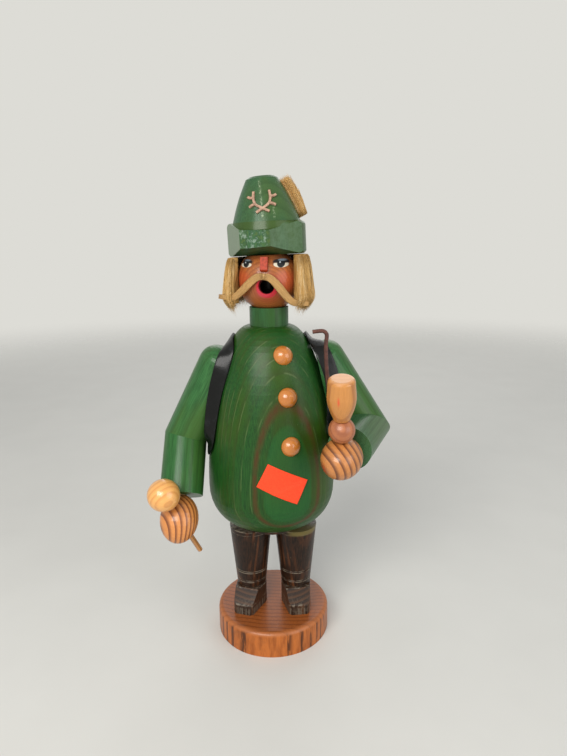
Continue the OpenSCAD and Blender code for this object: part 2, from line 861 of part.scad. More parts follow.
// Straps and rucksack
// Stations of a strap from the rucksack over the shoulder, down in front and back under the arm:
// height in percent of the coat's, turn from straight ahead, distance from the coat, twist to the front
right_strap_route = [
  [76.1, 158.5, 1.3, -1], [82.7, 145, 0.9, 1], [90.1, 119.5, 1, 9], [93.1, 86, 1.3, 18],
  [90.3, 62, 2.7, 32], [82.7, 56.5, 3.6, 49], [70.6, 60.4, 3.1, 40], [57, 62.5, 2.9, 31],
  [47.8, 64, 2.6, 21], [42.3, 70, 1.3, 7], [40.4, 81, 0.6, 0], [40.8, 104, 0.6, 0], [42.3, 126, 0.9, 0],
  [43.7, 147, 1.2, 0]
];
left_strap_route = [
  [76.1, 158.5, 1.5, -6], [82.7, 146.5, 1, 1], [90.1, 122, 1.3, 18], [93.6, 90.7, 2.3, 38],
  [91.2, 70.5, 6, 60], [86.9, 65.2, 7.8, 57], [75.8, 65.4, 8, 51], [62.5, 66.8, 5.1, 36],
  [51.5, 69, 3.1, 21], [43.7, 76.6, 1.5, 4], [41.4, 90, 1, -1], [41.8, 118, 1, -1], [43.7, 144, 1.2, 0]
];

function strap_point(s, side) =
  let (h = s[0] / 100 * coat_h, r = coat_r(h) + s[2])
  [side * r * sin(s[1]), -r * cos(s[1]), coat_z + h];

function strap_out(s, side) =
  let (slope = coat_slope(s[0] / 100 * coat_h), turn = s[1] - s[3])
  [side * cos(slope) * sin(turn), -cos(slope) * cos(turn), sin(slope)];

module strap(stations, side) {
  fine = curve(stations, 3);
  route = [for (s = fine) strap_point(s, side)];
  color(leather)
    skin([
      for (i = [0:len(fine) - 1])
        let (
          ahead = travel(route, i),
          across = unit(cross(ahead, strap_out(fine[i], side))),
          out = cross(across, ahead)
        )
          [
            for (c = [[1, 1], [-1, 1], [-1, -1], [1, -1]])
              route[i] + c[0] * strap_w / 2 * across + c[1] * strap_t / 2 * out
          ]
    ]);
}

module right_strap() strap(right_strap_route, -1);
module left_strap() strap(left_strap_route, 1);

bag_back = coat_d / 2 + bag_depth;
bag_round = 4;
// Height of the rucksack's bottom on the figure
bag_bottom = coat_z + bag_z;

// A rucksack's side outline, moved out by the amount grow
module bag_side(grow) {
  polygon(concat(
    [[0, -grow]],
    arc(bag_back - bag_round, bag_round, bag_round + grow, -90, 0, 5),
    arc(bag_back - 2 - bag_round, bag_h - bag_round, bag_round + grow, 0, 90, 5),
    [[0, bag_h + grow]]
  ));
}

module bag_block(grow, width) {
  translate([-width / 2, 0, bag_bottom])
    rotate([90, 0, 90])
      linear_extrude(width)
        bag_side(grow);
}

module rucksack_bag() {
  color("#5b4a2e")
    difference() {
      bag_block(0, bag_w);
      coat_form(soft_gap, 4, 8);
    }
}

module rucksack_flap() {
  color("#4a3a22")
    difference() {
      bag_block(flap_t + 0.1, bag_w);
      bag_block(0.1, bag_w + 2 * cut);
      coat_form(soft_gap, 4, 8);
      translate([-bag_w, -cut, bag_bottom - flap_t - cut])
        cube([2 * bag_w, 2 * coat_d, bag_h * 0.45 + flap_t + cut]);
    }
}

// Head
hat_up = [-sin(hat_lean), 0, cos(hat_lean)];
// Diameter of the flat on which the head sits on its collar
head_seat_d = 16;
ball_z = head_z + sqrt(pow(head_d / 2, 2) - pow(head_seat_d / 2, 2));
// Radius of the head at height z
function head_r(z) = sqrt(pow(head_d / 2, 2) - pow(z - ball_z, 2));
mouth_z = head_z + mouth_h;
// Turn of the mouth from the middle of the face
mouth_shift = 4;
nose_z = hat_z - nose_h;
// Depth of the nose's slot in the head
nose_slot = 4.2;
nose_back = head_d / 2 - nose_slot;

// Places children with the face toward -Y
module face_frame(shift = 0) {
  rotate([0, 0, shift - face_turn])
    children();
}

module hat_frame() {
  translate([0, 0, hat_z])
    rotate([0, -hat_lean, 0])
      children();
}

module collar() {
  color(dark_green)
    difference() {
      union() {
        translate([0, 0, collar_z])
          cylinder(d = collar_d, h = collar_h);
        translate([0, 0, collar_z - neck_spigot])
          cylinder(d = spigot_d, h = neck_spigot + collar_h + head_spigot);
      }
      translate([0, 0, collar_z - neck_spigot - cut])
        cylinder(d = collar_bore_d, h = neck_spigot + collar_h + head_spigot + 2 * cut);
    }
}

module head() {
  hollow_z = head_z + head_spigot + 0.4;
  color(pine)
    difference() {
      translate([0, 0, ball_z])
        sphere(d = head_d);
      half_space([0, 0, head_z], [0, 0, -1]);
      half_space([0, 0, hat_z], hat_up);
      translate([0, 0, head_z - cut])
        cylinder(d = spigot_d + 2 * dowel_fit, h = head_spigot + 0.5 + cut);
      translate([0, 0, hollow_z])
        cylinder(d = head_hollow_d, h = head_hollow_h);
      face_frame(mouth_shift)
        translate([0, 0, mouth_z])
          rotate([90, 0, 0]) {
            cylinder(d = mouth_d, h = head_d);
            translate([0, 0, head_r(mouth_z) - 1.6])
              cylinder(d1 = mouth_d, d2 = lips_d + 0.6, h = 2);
          }
      face_frame()
        translate([-nose_w / 2 - dowel_fit, -head_d, nose_z - dowel_fit])
          cube([nose_w + 2 * dowel_fit, head_d - nose_back, nose_h * 2]);
      hat_frame()
        translate([0, 0, -head_hole])
          cylinder(d = hat_dowel_d + 2 * dowel_fit, h = head_hole + cut);
    }
}

module nose() {
  nose_tip = head_r(nose_z + 1) + nose_reach;
  color("#c04a30")
    face_frame()
      translate([-nose_w / 2, 0, nose_z])
        rotate([90, 0, 90])
          linear_extrude(nose_w)
            polygon([
              [-nose_back - 0.1, 0], [-nose_tip + 0.8, 0], [-nose_tip, 0.9],
              [-nose_tip + 2.2, nose_h - 0.7], [-nose_back - 0.1, nose_h - 0.7]
            ]);
}

// Height of the moustache's middle, which clears the mouth
moustache_z = mouth_z + mouth_d / 2 + moustache_w / 2 + 0.2;
moustache_drop = 12.2;
moustache_tip_y = 11.2;

function moustache_point(u) =
  let (
    x = u * moustache_span / 2,
    drop = moustache_drop * pow(sin(90 * min(abs(u) / 0.8, 1)), 1.6),
    front = head_d / 2 + moustache_t / 2 + 0.2 - moustache_tip_y
  )
  [x, -moustache_tip_y - front * pow(cos(90 * u), 1.3), -drop];

module moustache() {
  steps = 28;
  route = [for (i = [0:steps]) moustache_point(min(0.9999, max(-0.9999, 2 * i / steps - 1)))];
  color(fur)
    face_frame()
      translate([0, 0, moustache_z])
        rotate([0, 4.5, 0])
          skin([
            for (i = [0:steps])
              let (
                ahead = travel(route, i),
                across = unit(cross(ahead, unit([route[i][0], route[i][1], 0]))),
                out = cross(across, ahead),
                thin = 1 - 0.5 * pow(abs(2 * i / steps - 1), 3)
              )
                [
                  for (a = [0:45:315])
                    route[i] + thin * (moustache_w / 2 * cos(a) * across + moustache_t / 2 * sin(a) * out)
                ]
          ]);
}

// Half the angle that the hair leaves open in front
hair_open = 66;

module hair() {
  inner = head_d / 2 + soft_gap;
  bottom = head_z + 1.6;
  top = hat_z - 1.6;
  color(fur)
    face_frame()
      rotate([0, 0, hair_open - 90])
        rotate_extrude(angle = 360 - 2 * hair_open)
          polygon([
            [inner, bottom + 0.6], [inner + hair_t * 0.8, bottom], [inner + hair_t, bottom + 1.4],
            [inner + hair_t * 0.75, bottom + 0.5 * (top - bottom)], [inner + hair_t * 0.45, top - 1],
            [inner + hair_t * 0.3, top], [inner, top]
          ]);
}

// Hat
// Heading of the middle of a brim's side flat
side_turn = front_flat_angle + acos(side_flat / (brim_d / 2));
// Distance of the brim's front flat from its axis
front_flat = brim_d / 2 * cos(front_flat_angle);
// Heading of the front bevels from the front flat
bevel_turn = 7;
// Radius and height of the foot of the step that carries the crown
step_foot_r = front_flat + 0.3;
step_foot_z = brim_h / 2;
// Radius of that step 1 above the brim's top, where it is crown_d wide
step_top_r = crown_d / 2 - (step_foot_r - crown_d / 2) / (brim_h - step_foot_z);
// Rounding of the brim's upper and lower edge
brim_top_round = 2.2;
brim_low_round = 1.2;

// The turned brim before its flats and bevels are cut
module brim_disc() {
  r = brim_d / 2;
  rotate_extrude()
    polygon(concat(
      [[0, 0], [r - brim_low_round, 0], [r, brim_low_round]],
      arc(r - brim_top_round, brim_h - brim_top_round, brim_top_round, 0, 90, 5),
      [[0, brim_h]]
    ));
}

// What a bevel takes off the brim's front, above (1) or below (-1) the front flat
module bevel_cut(side) {
  rotate([0, 0, bevel_turn])
    half_space(
      [0, -front_flat, brim_h / 2 + side * band_h / 2],
      [0, -sin(bevel_slope), side * cos(bevel_slope)]
    );
}

module hat_brim() {
  color(dark_green)
    hat_frame()
      difference() {
        translate([-brim_shift, 0, 0])
          rotate([0, 0, -hat_turn])
            difference() {
              brim_disc();
              bevel_cut(-1);
              difference() {
                bevel_cut(1);
                rotate([0, 0, hat_turn])
                  translate([brim_shift, 0, step_foot_z])
                    cylinder(r1 = step_foot_r, r2 = step_top_r, h = brim_h - step_foot_z + 1);
              }
              half_space([0, -front_flat, 0], [0, -1, 0]);
              for (side = [-1, 1])
                let (out = aim(side * side_turn, 0))
                  half_space(side_flat * out, out);
            }
        translate([0, 0, -cut])
          cylinder(d = hat_dowel_d + 2 * dowel_fit, h = brim_h + 2 * cut);
      }
}

module crown_frame() {
  hat_frame()
    translate([0, 0, brim_h])
      rotate([0, -crown_lean, 0])
        children();
}

// Radius of the crown at height h above the brim
function crown_r(h) =
  let (t = h / crown_h)
  (crown_d * (1 - t) + crown_top_d * t) / 2 + crown_bulge * sin(180 * t);

// The crown as a turned cone, moved out by the amount grow
module crown_form(grow) {
  steps = 8;
  start = -1.5;
  end = crown_h - 1;
  rotate_extrude()
    polygon(concat(
      [[0, start]],
      [
        for (i = [0:steps])
          let (h = start + (end - start) * i / steps)
            [crown_r(h) + grow, h]
      ],
      [[crown_r(crown_h) + grow - 1, crown_h], [0, crown_h]]
    ));
}

module hat_crown() {
  color(dark_green)
    difference() {
      crown_frame()
        crown_form(0);
      hat_frame()
        translate([-big / 2, -big / 2, brim_h - big])
          cube([big, big, big]);
      hat_frame()
        translate([0, 0, brim_h - cut])
          cylinder(d = hat_dowel_d + 2 * dowel_fit, h = crown_hole + cut);
    }
}

module hat_dowel() {
  color(pine)
    hat_frame()
      translate([0, 0, -head_hole])
        cylinder(d = hat_dowel_d, h = head_hole + brim_h + crown_hole);
}

crown_side = atan((crown_d - crown_top_d) / 2 / crown_h);
// Heading of the tuft on the crown
tuft_turn = 103;

module hat_tuft() {
  r = tuft_w / 2;
  color(fur)
    difference() {
      crown_frame()
        rotate([0, 0, tuft_turn])
          translate([0, -crown_d / 2 - r * 0.55, 1])
            rotate([-crown_side, 0, 0])
              rotate_extrude()
                polygon(concat(
                  [[0, 0], [r * 0.7, 0], [r, r], [r, 0.75 * tuft_len]],
                  [[r * 0.7, 0.93 * tuft_len], [0, tuft_len]]
                ));
      crown_frame()
        crown_form(soft_gap);
    }
}

// Heading of the badge and its height on the crown
badge_turn = -2.5;
badge_z = 9.6;
badge_gap = 0.16;

// A point on the crown, given in units of half the badge's width
function on_crown(p, lift) =
  let (
    h = badge_z + p[1] * badge_w / 2,
    r = crown_r(h) + lift,
    turn = badge_turn + p[0] * badge_w / 2 / crown_r(badge_z) * 180 / PI
  )
  [r * sin(turn), -r * cos(turn), h];

// A rod of the badge that follows the crown along a list of points
module antler(points) {
  route = [for (p = curve(points, 3)) on_crown(p, badge_t / 2 + badge_gap)];
  skin([
    for (i = [0:len(route) - 1])
      let (
        ahead = travel(route, i),
        across = unit(cross(ahead, unit([route[i][0], route[i][1], 8]))),
        out = cross(across, ahead)
      )
        [
          for (c = [[1, 1], [-1, 1], [-1, -1], [1, -1]])
            route[i] + c[0] * badge_stroke / 2 * across + c[1] * badge_t / 2 * out
        ]
  ]);
}

// Two crossed antlers, each a curved beam with two tines
module antler_badge() {
  beam = [[0.57, 0.6], [0.56, 0.2], [0.42, -0.2], [0.12, -0.44], [-0.36, -0.74]];
  tines = [[[0.54, 0.22], [0.78, 0.22], [1, 0.3]], [[0.4, -0.2], [0.6, -0.25], [0.8, -0.36]]];
  color("#d9b3a0")
    crown_frame()
      for (side = [-1, 1], part = concat([beam], tines))
        antler([for (p = part) [side * p[0], p[1]]]);
}

base_disc();
right_shoe();
left_shoe();
right_boot();
left_boot();
right_foot_dowel();
left_foot_dowel();
right_hip_dowel();
left_hip_dowel();
seat_plug();
cone_tray();
tray_nail();
coat();
top_button();
middle_button();
bottom_button();
right_upper_arm();
right_forearm();
right_hand();
right_shoulder_dowel();
right_elbow_dowel();
right_wrist_dowel();
left_upper_arm();
left_forearm();
left_hand();
left_shoulder_dowel();
left_elbow_dowel();
left_wrist_dowel();
pipe_bead();
pipe_bowl();
pipe_dowel();
pipe_stem();
right_strap();
left_strap();
rucksack_bag();
rucksack_flap();
collar();
head();
nose();
moustache();
hair();
hat_brim();
hat_crown();
hat_dowel();
hat_tuft();
antler_badge();
stick_rod();
stick_knob();
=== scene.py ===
"""A german incense smoker: a turned wooden woodsman with pipe, walking stick, rucksack and feathered hat.

Lengths are written in millimetres and become metres in piece(). The figure faces -Y and stands on z = 0.
"""

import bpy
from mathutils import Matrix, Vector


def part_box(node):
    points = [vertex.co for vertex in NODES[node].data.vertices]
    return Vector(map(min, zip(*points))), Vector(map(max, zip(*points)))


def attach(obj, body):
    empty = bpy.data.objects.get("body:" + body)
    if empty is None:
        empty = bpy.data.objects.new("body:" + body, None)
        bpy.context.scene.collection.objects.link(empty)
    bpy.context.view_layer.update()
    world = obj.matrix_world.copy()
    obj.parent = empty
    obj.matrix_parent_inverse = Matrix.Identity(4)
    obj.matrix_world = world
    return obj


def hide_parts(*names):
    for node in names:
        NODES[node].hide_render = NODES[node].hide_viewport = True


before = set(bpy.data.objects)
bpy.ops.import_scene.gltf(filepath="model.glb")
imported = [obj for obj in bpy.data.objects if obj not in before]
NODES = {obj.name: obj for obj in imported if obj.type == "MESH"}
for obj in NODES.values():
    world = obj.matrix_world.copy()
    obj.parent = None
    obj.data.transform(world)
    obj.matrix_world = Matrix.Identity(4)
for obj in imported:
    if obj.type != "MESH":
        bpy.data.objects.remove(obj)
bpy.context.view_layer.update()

import math

import bpy
import numpy as np
from mathutils import Matrix, Vector

SCENE = bpy.context.scene
chance = np.random.RandomState(11)

MM = 0.001

# Sizes of the turned parts, as in the part's source
BASE_H = 14.5
BOOT_Z, BOOT_H = 27.0, 36.3
COAT_Z, COAT_H, COAT_D, COAT_WIDEST = 67.7, 108.8, 68.8, 22.0
NECK_D, COAT_FOOT_D, UPPER_BULGE, LOWER_BULGE = 21.0, 29.0, 1.92, 2.15
RIGHT_ELBOW, LEFT_ELBOW = (-46.0, -2.0, 116.4), (52.0, -1.0, 120.3)
RIGHT_ARM_LEAN, LEFT_ARM_LEAN = math.radians(26.5), math.radians(32)
HEAD_Z, HEAD_D, HAT_Z = 185.9, 32.0, 212.1
HEAD_FOOT_R, MOUTH_H, MOUTH_R = 8.0, 11.0, 3.4
BALL_Z = HEAD_Z + math.sqrt((HEAD_D / 2) ** 2 - HEAD_FOOT_R ** 2)
FACE_HEADING = -6.5
FACE_TURN = math.radians(FACE_HEADING)
HAT_LEAN, CROWN_LEAN, BRIM_H = math.radians(2.4), math.radians(3), 16.0
CROWN_D, CROWN_TOP_D, CROWN_H = 34.0, 15.0, 21.6

# Sizes of the soft goods
STRAP_W, STRAP_T = 7.8, 0.72
BAG_Z, BAG_H, BAG_W, FLAP_T = 110.0, 36.4, 34.8, 0.84
HAIR_FOOT_Z, HAIR_R, HAIR_DEPTH = 187.7, 16.45, 7.3
MOUSTACHE_L, MOUSTACHE_BACK, MOUSTACHE_DROP = 44.8, 11.2, 11.8
TUFT_HEADING, TUFT_OUT, TUFT_R = math.radians(103), 1.9, 3.15
PAPER_W, PAPER_H, PAPER_T = 22.8, 13.4, 0.13

FRONT, LEFT_SIDE, UP = (0, -1, 0), (1, 0, 0), (0, 0, 1)


# Plain geometry
def unit(v):
    """A vector, or each row of vectors, divided by its length."""
    return v / np.linalg.norm(v, axis=-1, keepdims=True)


def level_out(points):
    """Level directions from the Z axis out to points."""
    return unit(points * np.array([1, 1, 0]))


def bowed(v, power):
    """The size of v to a power, with the sign of v."""
    return np.sign(v) * np.abs(v) ** power


def aim(heading, drop):
    """Direction that starts at -Y, turns by heading about Z and dips by drop, both in degrees."""
    a, b = math.radians(heading), math.radians(drop)
    return np.array([math.sin(a) * math.cos(b), -math.cos(a) * math.cos(b), -math.sin(b)])


def spin(points, angle):
    """Points turned about the Z axis."""
    c, s = np.cos(angle), np.sin(angle)
    x, y = points[..., 0], points[..., 1]
    return np.stack([c * x - s * y, s * x + c * y, points[..., 2]], -1)


def lean(points, angle):
    """Points turned about the Y axis so that +Z moves towards -X."""
    c, s = np.cos(angle), np.sin(angle)
    x, z = points[..., 0], points[..., 2]
    return np.stack([c * x - s * z, points[..., 1], s * x + c * z], -1)


def through(stations, steps):
    """Smooth curve through stations: each span is the cubic whose slope at a station is half the chord
    between that station's neighbours."""
    p = np.asarray(stations, float)
    p = np.concatenate([p[:1], p, p[-1:]])
    a, b, c, d = (p[i:len(p) - 3 + i, None] for i in range(4))
    t = (np.arange(steps) / steps)[None, :, None]
    square, cube = 2 * a - 5 * b + 4 * c - d, 3 * b - a - 3 * c + d
    span = 0.5 * (2 * b + (c - a) * t + square * t ** 2 + cube * t ** 3)
    return np.concatenate([span.reshape(-1, p.shape[1]), p[-1:]])


def coat_radius(h):
    """Radius of the coat at height h: a superellipse above the widest place and another below it."""
    h = np.asarray(h, float)
    above = np.abs((h - COAT_WIDEST) / (COAT_H - COAT_WIDEST)).clip(0, 1)
    below = np.abs((COAT_WIDEST - h) / COAT_WIDEST).clip(0, 1)
    up = (1 - above ** UPPER_BULGE) ** (1 / UPPER_BULGE)
    low = (1 - below ** LOWER_BULGE) ** (1 / LOWER_BULGE)
    upper, lower = NECK_D + (COAT_D - NECK_D) * up, COAT_FOOT_D + (COAT_D - COAT_FOOT_D) * low
    return np.where(h >= COAT_WIDEST, upper, lower) / 2


def coat_slope(h):
    """Angle by which the coat faces upward at height h, from the radius half a millimetre below and
    above."""
    return np.arctan2(coat_radius(h - 0.5) - coat_radius(h + 0.5), 1)


def crown_place(points):
    """Points of the crown's own frame, its foot at the origin, carried to the leaning hat."""
    raised = lean(points, CROWN_LEAN) + np.array([0, 0, BRIM_H])
    return lean(raised, HAT_LEAN) + np.array([0, 0, HAT_Z])


# Meshes
def sheet_faces(rows, cols, closed=True):
    """Quads of a grid of rows by cols points, closed round its columns when asked."""
    i, j = np.meshgrid(np.arange(rows - 1), np.arange(cols if closed else cols - 1), indexing="ij")
    k = (j + 1) % cols
    return np.stack([i * cols + j, i * cols + k, (i + 1) * cols + k, (i + 1) * cols + j], -1).reshape(-1, 4)


def volume(points, faces):
    """Signed volume: the sum over each face's fan of triangles of their corners' triple product, over
    six."""
    total = 0.0
    for f in faces:
        a = points[f[:, 0]]
        for k in range(1, f.shape[1] - 1):
            total += np.einsum("ij,ij->", a, np.cross(points[f[:, k]], points[f[:, k + 1]])) / 6
    return total


def piece(name, points, faces, finish, body, slot=None, replaces=(), numbers=None):
    """A closed mesh from points in millimetres and arrays of faces, turned so that its faces point
    outwards."""
    points = np.asarray(points, float).reshape(-1, 3)
    if volume(points, faces) < 0:
        faces = [f[:, ::-1] for f in faces]
    mesh = bpy.data.meshes.new(name)
    mesh.from_pydata((points * MM).tolist(), [], [corners for f in faces for corners in f.tolist()])
    mesh.polygons.foreach_set("use_smooth", np.ones(len(mesh.polygons), bool))
    for label, values in (numbers or {}).items():
        attribute = mesh.attributes.new(label, "FLOAT", "POINT")
        attribute.data.foreach_set("value", np.asarray(values, np.float32).ravel())
    mesh.materials.append(finish.material)
    made = bpy.data.objects.new(name, mesh)
    SCENE.collection.objects.link(made)
    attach(made, body)
    if replaces:
        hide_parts(*replaces)
    return made


def tube(rings):
    """Points and faces of rings (n, k, 3) joined in a row, each end closed by a cap."""
    n, k, _ = rings.shape
    ends = np.stack([np.arange(k)[::-1], np.arange(k) + (n - 1) * k])
    return rings.reshape(-1, 3), [sheet_faces(n, k), ends]


def band(route, outward, across_by, out_by):
    """Rings of a profile carried along a route: each point of the route plus across_by (n, k) sideways and
    out_by (n, k) outwards."""
    ahead = unit(np.gradient(route, axis=0))
    across = unit(np.cross(ahead, outward))
    out = np.cross(across, ahead)
    return route[:, None] + across_by[..., None] * across[:, None] + out_by[..., None] * out[:, None]


def strands(routes, thickness, outward):
    """Points and faces of many tapered hairs, whose routes are (n, s, 3). Each hair is a three-sided tube.
    Its half width is thickness, times a power that falls to a fine tip, times a sine that swells its
    middle."""
    n, s, _ = routes.shape
    ahead = unit(np.gradient(routes, axis=1))
    across = unit(np.cross(ahead, outward))
    out = np.cross(across, ahead)
    t = np.linspace(0, 1, s)
    half = np.reshape(thickness, (-1, 1)) * (1 - 0.88 * t ** 2.2) * (0.75 + 0.5 * np.sin(np.pi * t))
    turn = np.arange(3) * 2 * np.pi / 3 + np.pi / 2
    ring = np.cos(turn)[:, None] * across[:, :, None] + np.sin(turn)[:, None] * out[:, :, None]
    points = routes[:, :, None] + half[:, :, None, None] * ring
    first = (np.arange(n) * s * 3)[:, None, None]
    quads = sheet_faces(s, 3)[None] + first
    ends = np.array([[2, 1, 0], [3 * s - 3, 3 * s - 2, 3 * s - 1]])[None] + first
    return points.reshape(-1, 3), [quads.reshape(-1, 4), ends.reshape(-1, 3)]


def hair_numbers(n, s, lock=0.5):
    """Per-point numbers of n hairs: tone, half random and half that of the hair's lock, and tip, which
    grows from 0 at the root to 1 at the end."""
    tone = np.repeat(chance.rand(n) * 0.5 + lock * 0.5, s * 3)
    tip = np.tile(np.repeat(np.linspace(0, 1, s), 3), n)
    return {"tone": tone, "tip": tip}


# Finishes
def paint(code):
    """Linear colour of an sRGB code such as 'a0b1c2'."""
    c = np.array([int(code[i:i + 2], 16) / 255 for i in (0, 2, 4)])
    return (*np.where(c <= 0.04045, c / 12.92, ((c + 0.055) / 1.055) ** 2.4).tolist(), 1.0)


class Signal:
    """One socket of a finish. Arithmetic on it adds Math nodes."""

    def __init__(self, finish, socket):
        self.finish, self.socket = finish, socket

    def math(self, operation, *others):
        """The socket and others, joined by a Math node."""
        return self.finish.node("ShaderNodeMath", {"operation": operation}, (self, *others))

    def __add__(self, other):
        return self.math("ADD", other)

    def __sub__(self, other):
        return self.math("SUBTRACT", other)

    def __rsub__(self, other):
        return self.finish.node("ShaderNodeMath", {"operation": "SUBTRACT"}, (other, self))

    def __mul__(self, other):
        return self.math("MULTIPLY", other)

    def __truediv__(self, other):
        return self.math("DIVIDE", other)

    def __pow__(self, other):
        return self.math("POWER", other)

    __radd__ = __add__

    def rise(self, low, high):
        """0 up to low, 1 from high on, and smooth between them. With low above high it falls instead."""
        falls = float(low > high)
        sockets = {0: self, 1: min(low, high), 2: max(low, high), 3: falls, 4: 1.0 - falls}
        return self.finish.node("ShaderNodeMapRange", {"interpolation_type": "SMOOTHSTEP"}, sockets)

    def ridge(self, middle, half):
        """1 at middle, falling smoothly to 0 at half away on either side."""
        return (self - middle).math("ABSOLUTE").rise(half, 0.0)


class Finish:
    """One material, built up from nodes."""

    def __init__(self, name, roughness=0.4, coat=0.0, coat_roughness=0.1, metallic=0.0, specular=0.5):
        self.material = bpy.data.materials.new(name)
        self.material.use_nodes = True
        self.tree = self.material.node_tree
        self.surface = self.tree.nodes["Principled BSDF"]
        self.set(Roughness=roughness, Coat_Weight=coat, Coat_Roughness=coat_roughness,
                 Metallic=metallic, Specular_IOR_Level=specular)
        self.object_place = self.node("ShaderNodeTexCoord", out="Object")

    def node(self, kind, settings=None, sockets=(), out=0):
        """Adds a node: its settings first, then the values or links of its sockets, by place or by name."""
        made = self.tree.nodes.new(kind)
        for key, value in (settings or {}).items():
            setattr(made, key, value)
        for place, value in (sockets.items() if isinstance(sockets, dict) else enumerate(sockets)):
            if isinstance(value, Signal):
                self.tree.links.new(value.socket, made.inputs[place])
            elif value is not None:
                made.inputs[place].default_value = value
        return Signal(self, made.outputs[out])

    def set(self, **sockets):
        """Sets or links sockets of the surface shader."""
        for name, value in sockets.items():
            socket = self.surface.inputs[name.replace("_", " ")]
            if isinstance(value, Signal):
                self.tree.links.new(value.socket, socket)
            else:
                socket.default_value = value

    def place(self, centre=(0, 0, 0), axis=(0, 0, 1), toward=(0, -1, 0)):
        """Object coordinates in millimetres from centre, with Z along axis and -Y towards toward."""
        z = Vector(axis).normalized()
        y = -(Vector(toward) - z * Vector(toward).dot(z)).normalized()
        turn = Matrix((y.cross(z), y, z)).transposed().to_euler()
        return self.node("ShaderNodeMapping", {"vector_type": "TEXTURE"},
                         (self.object_place, [c * MM for c in centre], turn, (MM,) * 3))

    def vector(self, operation, *values, out=0):
        """A vector sum, product or length."""
        return self.node("ShaderNodeVectorMath", {"operation": operation}, values, out)

    def axes(self, place):
        """The three numbers of a place."""
        split = self.node("ShaderNodeSeparateXYZ", None, (place,))
        return [Signal(self, s) for s in split.socket.node.outputs]

    def noise(self, place, fineness, detail=2, roughness=0.5):
        """Noise of about fineness waves per millimetre: one number, or one for each axis of place."""
        if not isinstance(fineness, tuple):
            fineness = (fineness,) * 3
        sockets = {"Vector": self.vector("MULTIPLY", place, fineness), "Scale": 1.0,
                   "Detail": detail, "Roughness": roughness}
        return self.node("ShaderNodeTexNoise", {"normalize": True}, sockets)

    def number(self, label):
        """A piece's own per-point number."""
        return self.node("ShaderNodeAttribute", {"attribute_name": label}, out="Fac")

    def mix(self, low, high, share):
        """Colour from low to high by share. Each colour is a socket or an sRGB code."""
        low, high = (paint(c) if isinstance(c, str) else c for c in (low, high))
        return self.node("ShaderNodeMix", {"data_type": "RGBA"}, {0: share, 6: low, 7: high}, out=2)

    def bump(self, height, depth, strength=1.0):
        """Relief of height times depth millimetres."""
        self.set(Normal=self.node("ShaderNodeBump", None,
                                  {"Strength": strength, "Distance": depth * MM, "Height": height}))

    def grain(self, place, pith, spacing, wobble=1.0, late_from=0.35):
        """Growth rings and fibres of a block whose grain runs along Z of place.

        The distance from the pith line, moved by slow noise drawn out along the grain, is counted in rings
        of the given spacing. late is 1 in the dark end of each ring. fibre is fine noise drawn out along
        the grain. Returns the distance, late and fibre."""
        slow = self.noise(place, (0.06, 0.06, 0.014))
        from_pith = self.vector("MULTIPLY", self.vector("SUBTRACT", place, (*pith, 0)), (1, 1, 0))
        reach = self.vector("LENGTH", from_pith, out="Value") + (slow - 0.5) * (2 * wobble)
        share = (reach / spacing).math("FRACT")
        late = share.rise(late_from, 0.86) * share.rise(1.0, 0.92)
        fibre = self.noise(place, (2.6, 2.6, 0.11), 4, 0.62)
        return reach, late, fibre


def dress(finish, *names):
    """Gives a finish to nodes of the part."""
    for name in names:
        for material_slot in NODES[name].material_slots:
            material_slot.material = finish.material


def middle(name):
    """Centre of a node's box, in millimetres."""
    low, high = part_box(name)
    return np.array((low + high) / 2) * 1000


def stained(name, centre, axis, toward, pith, spacing, shades, wobble=0.8, late=0.45, coat=0.28):
    """Green stain under glossy varnish. shades are the light, dark and olive greens and the brown of the
    rings. Returns the finish, its place, the distance from the pith, the rings, the fibres and the
    colour."""
    f = Finish(name, 0.36, coat, 0.22, specular=0.12)
    p = f.place(centre, axis, toward)
    reach, rings, fibre = f.grain(p, pith, spacing, wobble)
    patch = f.noise(p, (0.05, 0.05, 0.02), 3)
    light, dark, olive, brown = shades
    base = f.mix(light, dark, fibre.rise(0.34, 0.68))
    base = f.mix(base, olive, patch.rise(0.42, 0.68) * 0.75)
    base = f.mix(base, brown, rings * late * patch.rise(0.3, 0.6))
    specks = f.noise(p, (1.3, 1.3, 0.5), 2, 0.7).rise(0.74, 0.8)
    base = f.mix(base, "7f9467", specks * 0.6)
    return f, p, reach, rings, fibre, base


def green_finish(name, centre, axis, toward, pith, spacing, shades):
    """The plain green of arms and collar, with the faint orange-peel relief of varnish."""
    f, p, _, rings, fibre, base = stained(name, centre, axis, toward, pith, spacing, shades)
    f.set(Base_Color=base, Roughness=0.3 + fibre * 0.16)
    waves = f.noise(p, (0.9, 0.9, 0.5))
    f.bump(waves + fibre * 0.35 + rings * 0.2, 0.05, 0.6)
    return f


